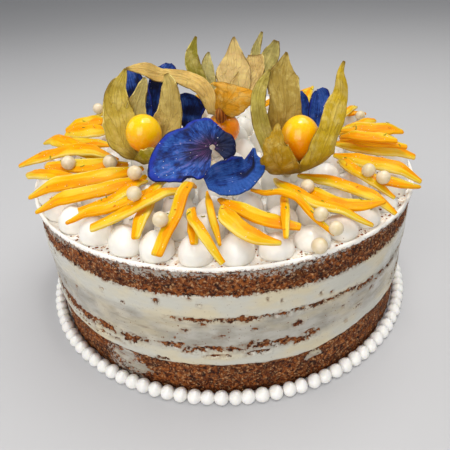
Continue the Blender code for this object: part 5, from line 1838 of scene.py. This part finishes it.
class CAKE_OT_husks(Operator):
    """Papery husks round the ground cherries"""

    bl_idname = "cake.husks"
    bl_label = "Husks"

    def execute(self, context):
        field = laid()["field"]
        counts = (sizes().lobe_rows, sizes().lobe_columns)
        for name, (heart, *lobes) in HUSKS.items():
            hub = BERRIES[name][0]
            grids, leaves = [], []
            for number, lobe in enumerate(lobes):
                cup = bowl(lobe, hub)
                grid, leaf = fine_blade(field, lobe, cup, LOBE_SHAPE, *counts, number, hub)
                grids.append(grid)
                leaves.append(leaf)
            points, faces, facts = cup_and_lobes(heart, grids, leaves)
            tints = np.array([tone(*t) for t in HUSK_TINTS[name]])
            facts["tint"] = tints[np.rint(facts["leaf"][:, 2]).astype(int)]
            paper = husk_finish(f"husk_{name}_paper", tone(100, 72, 4), tone(226, 206, 128))
            slot = "tan_husk" if name == "middle" else "husk"
            node = "husk_" + name
            piece("lantern_" + name, points, faces, paper, facts, (node,), slot)
            if name == "middle":
                points, faces, facts = ribbed_knob()
                piece("lantern_knob", points, faces, paper, facts, (node,), slot)
        return {"FINISHED"}


class CAKE_OT_petals(Operator):
    """Blue petals"""

    bl_idname = "cake.petals"
    bl_label = "Petals"

    def execute(self, context):
        field = laid()["field"]
        material = petal_finish(colours())
        grid, leaf = fine_large_petal(field, rows=22, columns=121)
        points, faces, facts = thin_sheet(grid, leaf, PETAL_THICKNESS)
        piece("blue_petal_large", points, faces, material, facts, ("petal_large",), "petal")
        counts = (sizes().petal_rows, sizes().lobe_columns)
        for number, (name, (cup, stations)) in enumerate(PETALS.items(), 1):
            grid, leaf = fine_blade(field, stations, cup, PETAL_SHAPE, *counts, number)
            points, faces, facts = thin_sheet(grid, leaf, PETAL_THICKNESS)
            piece("blue_" + name, points, faces, material, facts, (name,), "petal")
        return {"FINISHED"}


# Small things that lie about
SCATTER_SEED = 31


def shown_surface(names):
    """The surfaces of some pieces as one, to lay small things on."""
    points, faces = [], []
    for name in names:
        mesh = bpy.data.objects[name].data
        first = len(points)
        points += [v.co.copy() for v in mesh.vertices]
        faces += [tuple(first + i for i in p.vertices) for p in mesh.polygons]
    return BVHTree.FromPolygons(points, faces)


def names_of(*starts):
    """The names of the pieces so far that start in one of these ways."""
    return [shown.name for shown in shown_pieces() if shown.name.startswith(starts)]


def landing(tree, x, y):
    """Where something that falls at x, y comes to lie, in mm, and the way up there."""
    above = Vector((x * MM, y * MM, 150.0 * MM))
    spot, normal, _, _ = tree.ray_cast(above, Vector((0, 0, -1)))
    if spot is None:
        return None, None
    return np.array(spot) / MM, np.array(normal)


def lump_body(middle, size, chance):
    """A small uneven lump."""
    work = bmesh.new()
    bmesh.ops.create_icosphere(work, subdivisions=1, radius=1.0)
    points = np.array([v.co for v in work.verts])
    faces = [tuple(v.index for v in f.verts) for f in work.faces]
    work.free()
    stretch = np.array([chance.uniform(*span) for span in ((0.7, 1.3), (0.7, 1.3), (0.5, 0.9))])
    push = np.array([chance.uniform(0.75, 1.2) for _ in points])
    return middle + points * push[:, None] * stretch * size, faces


def shred_body(middle, normal, size, wide, chance):
    """A short curled shred that lies along a surface."""
    turn = chance.uniform(0, 2 * math.pi)
    along = np.array((math.cos(turn), math.sin(turn), 0.0))
    along = unit(along - np.dot(along, normal) * normal)
    side = np.cross(normal, along)
    bend, lift = chance.uniform(-0.5, 0.5), chance.uniform(0.1, 0.5)
    points = []
    for s in (-1, -0.4, 0.3, 1):
        heart = middle + along * s * size / 2 + side * bend * s * s * size / 2
        heart = heart + normal * (0.12 + lift * s * s * 0.5)
        for a, b in ((-1, -1), (1, -1), (1, 1), (-1, 1)):
            points.append(heart + side * a * wide / 2 + normal * b * 0.11)
    ends = [(3, 2, 1, 0), (12, 13, 14, 15)]
    return np.array(points), ring_faces(4, 4) + ends


def scatter_crumbs(count, chance):
    """Loose crumbs on the flat cream, most of them near the lip."""
    cream = shown_surface(["cream_coat", "piped_kisses"])
    crumbs = []
    while len(crumbs) < count:
        bearing = chance.uniform(-180, 180)
        distance = chance.choice((chance.uniform(93, 98.2), chance.uniform(82, 98.2)))
        spot, _ = landing(cream, *bearing_point(distance, bearing))
        if spot is not None and spot[2] <= 73.6:
            crumbs.append(lump_body(spot, chance.uniform(0.22, 0.62), chance))
    return crumbs


def scatter_zest(count, chance):
    """Green and orange shreds on all that faces up, but not under a husk, berry or petal."""
    top = shown_surface(["cream_coat", "piped_kisses", "sugar_pearls", *names_of("strip_")])
    above = shown_surface(names_of("blue_", "lantern_", "cherry_"))
    green, orange = [], []
    while len(green) + len(orange) < count:
        distance = 97 * math.sqrt(chance.uniform(0.08, 1.0))
        x, y = bearing_point(distance, chance.uniform(-180, 180))
        spot, normal = landing(top, x, y)
        if spot is None or normal[2] < 0.35 or landing(above, x, y)[0] is not None:
            continue
        size, wide = chance.uniform(0.8, 2.4), chance.uniform(0.25, 0.5)
        shred = shred_body(spot, normal, size, wide, chance)
        (green if chance.random() < 0.6 else orange).append(shred)
    return green, orange


def scatter_sugar(count, chance):
    """Grains of sugar on the strips and petals."""
    shown = shown_surface(names_of("strip_", "blue_"))
    sugar = []
    while len(sugar) < count:
        spot, normal = landing(shown, chance.uniform(-100, 100), chance.uniform(-102, 100))
        if spot is not None and normal[2] >= 0.25:
            sugar.append(lump_body(spot + 0.08 * normal, chance.uniform(0.10, 0.22), chance))
    return sugar


class CAKE_OT_crumbs(Operator):
    """Loose crumbs on the cream, shreds of zest and grains of sugar"""

    bl_idname = "cake.crumbs"
    bl_label = "Crumbs, zest and sugar"

    def execute(self, context):
        chance = random.Random(SCATTER_SEED)
        crumbs = scatter_crumbs(sizes().crumb_count, chance)
        green, orange = scatter_zest(sizes().zest_count, chance)
        sugar = scatter_sugar(sizes().sugar_count, chance)
        light, dark = colours().sponge_light, colours().sponge
        crumb = grain_finish("loose_crumb", light, dark, size=0.6, rough=0.8)
        light, dark = colours().zest, tone(96, 104, 6)
        green_zest = grain_finish("green_zest", light, dark, size=0.7, rough=0.4)
        light, dark = colours().zest_orange, tone(206, 112, 4)
        orange_zest = grain_finish("orange_zest", light, dark, size=0.7, rough=0.4)
        light, dark = tone(250, 248, 242), tone(232, 228, 216)
        white = grain_finish("sugar_grain", light, dark, size=0.3, rough=0.2)
        for name, bodies, material, slot in (
            ("loose_crumbs", crumbs, crumb, "sponge"),
            ("zest_green", green, green_zest, "peel"),
            ("zest_orange", orange, orange_zest, "peel"),
            ("sugar_grains", sugar, white, "cream"),
        ):
            piece(name, *joined(bodies)[:2], material, None, (), slot)
        return {"FINISHED"}


# Stage: lights with their place, size, power and colour
LIGHTS = {
    "soft_key": ((0.30, 0.20, 0.95), 0.7, 4.55, (1.0, 0.98, 0.94)),
    "soft_front": ((-0.35, -0.95, 0.55), 0.8, 6.2, (1.0, 0.98, 0.96)),
    "soft_left": ((-0.95, 0.15, 0.6), 0.6, 1.8, (1.0, 0.99, 0.97)),
    "small_overhead": ((0.02, -0.05, 0.95), 0.20, 2.6, (1.0, 0.99, 0.97)),
    "small_front": ((-0.12, -0.60, 0.78), 0.05, 0.7, (1.0, 0.99, 0.97)),
}
LIGHTS_AIM = (0.0, 0.0, 0.06)
ROOM_COLOUR = (0.97, 0.98, 1.0, 1.0)
ROOM_STRENGTH = 0.32
FLOOR_HALF = 7.0
FLOOR_LEVEL = -0.0002


def lay_floor(scene):
    """A wide pale floor just under the cake."""
    mesh = bpy.data.meshes.new("floor")
    corners = [(x * FLOOR_HALF, y * FLOOR_HALF, 0) for x, y in ((-1, -1), (1, -1), (1, 1), (-1, 1))]
    mesh.from_pydata(corners, [], [(0, 1, 2, 3)])
    floor = bpy.data.objects.new("floor", mesh)
    floor.location.z = FLOOR_LEVEL
    f = Finish("pale_floor", Specular_IOR_Level=0.2)
    mottled = f.step(f.noise(900.0, 2), 0.3, 0.7) * 0.3
    tint = f.blend(mottled, colours().floor, tone(186, 186, 188))
    mesh.materials.append(f.done(Base_Color=tint, Roughness=0.7))
    scene.collection.objects.link(floor)
    floor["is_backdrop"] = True


def light_room(scene):
    """Even light from the room, and square lights that all aim at the cake."""
    world = bpy.data.worlds.new("soft_room")
    world.use_nodes = True
    sky = world.node_tree.nodes["Background"]
    sky.inputs["Color"].default_value = ROOM_COLOUR
    sky.inputs["Strength"].default_value = ROOM_STRENGTH
    scene.world = world
    for name, (place, size, power, tint) in LIGHTS.items():
        light = bpy.data.lights.new(name, "AREA")
        light.size = size
        light.energy = power
        light.color = tint
        lamp = bpy.data.objects.new(name, light)
        lamp.location = place
        lamp.rotation_mode = "QUATERNION"
        lamp.rotation_quaternion = (Vector(LIGHTS_AIM) - Vector(place)).to_track_quat("-Z", "Y")
        scene.collection.objects.link(lamp)


def set_camera(scene):
    """The camera, from its pitch, yaw and roll."""
    pitch, yaw, roll = CAMERA_PITCH, CAMERA_YAW, CAMERA_ROLL
    flat = math.cos(pitch)
    forward = Vector((math.sin(yaw) * flat, math.cos(yaw) * flat, -math.sin(pitch)))
    right = Vector((math.cos(yaw), -math.sin(yaw), 0.0))
    upward = right.cross(forward)
    turned_right = right * math.cos(roll) + upward * math.sin(roll)
    turned_up = upward * math.cos(roll) - right * math.sin(roll)
    camera = bpy.data.cameras.new("camera")
    camera.lens = CAMERA_LENS
    camera.sensor_width = 36.0
    camera.clip_start = 0.01
    eye = bpy.data.objects.new("camera", camera)
    turn = Matrix((turned_right, turned_up, -forward)).transposed()
    eye.matrix_world = Matrix.Translation(CAMERA_PLACE) @ turn.to_4x4()
    scene.collection.objects.link(eye)
    scene.camera = eye


class CAKE_OT_stage(Operator):
    """Floor, soft lights and the camera"""

    bl_idname = "cake.stage"
    bl_label = "Stage"

    def execute(self, context):
        context.scene.view_settings.view_transform = "Standard"
        lay_floor(context.scene)
        light_room(context.scene)
        set_camera(context.scene)
        return {"FINISHED"}


class CAKE_PT_panel(Panel):
    """Lists the pieces of the cake"""

    bl_idname = "CAKE_PT_panel"
    bl_label = "Naked Layer Cake"
    bl_space_type = "VIEW_3D"
    bl_region_type = "UI"
    bl_category = "Cake"

    def draw(self, context):
        for operator in PIECES:
            self.layout.operator(operator.bl_idname)
        for group in (context.scene.cake_sizes, context.scene.cake_colours):
            box = self.layout.box()
            for name in group.__annotations__:
                box.prop(group, name)


PIECES = (
    CAKE_OT_layers,
    CAKE_OT_cream_top,
    CAKE_OT_beads,
    CAKE_OT_peel,
    CAKE_OT_pearls,
    CAKE_OT_berries,
    CAKE_OT_husks,
    CAKE_OT_petals,
    CAKE_OT_crumbs,
    CAKE_OT_stage,
)


KINDS = (CakeColours, CakeSizes, *PIECES, CAKE_PT_panel)


def register():
    for kind in KINDS:
        bpy.utils.register_class(kind)
    bpy.types.Scene.cake_colours = PointerProperty(type=CakeColours)
    bpy.types.Scene.cake_sizes = PointerProperty(type=CakeSizes)


def unregister():
    del bpy.types.Scene.cake_sizes
    del bpy.types.Scene.cake_colours
    for kind in reversed(KINDS):
        bpy.utils.unregister_class(kind)


def main():
    register()
    for operator in PIECES:
        group, name = operator.bl_idname.split(".")
        getattr(getattr(bpy.ops, group), name)()
    boxes = {"cad": CAD_BOX, "visual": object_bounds()}
    boxes = {name: [list(corner) for corner in box] for name, box in boxes.items()}


if __name__ == "__main__":
    main()
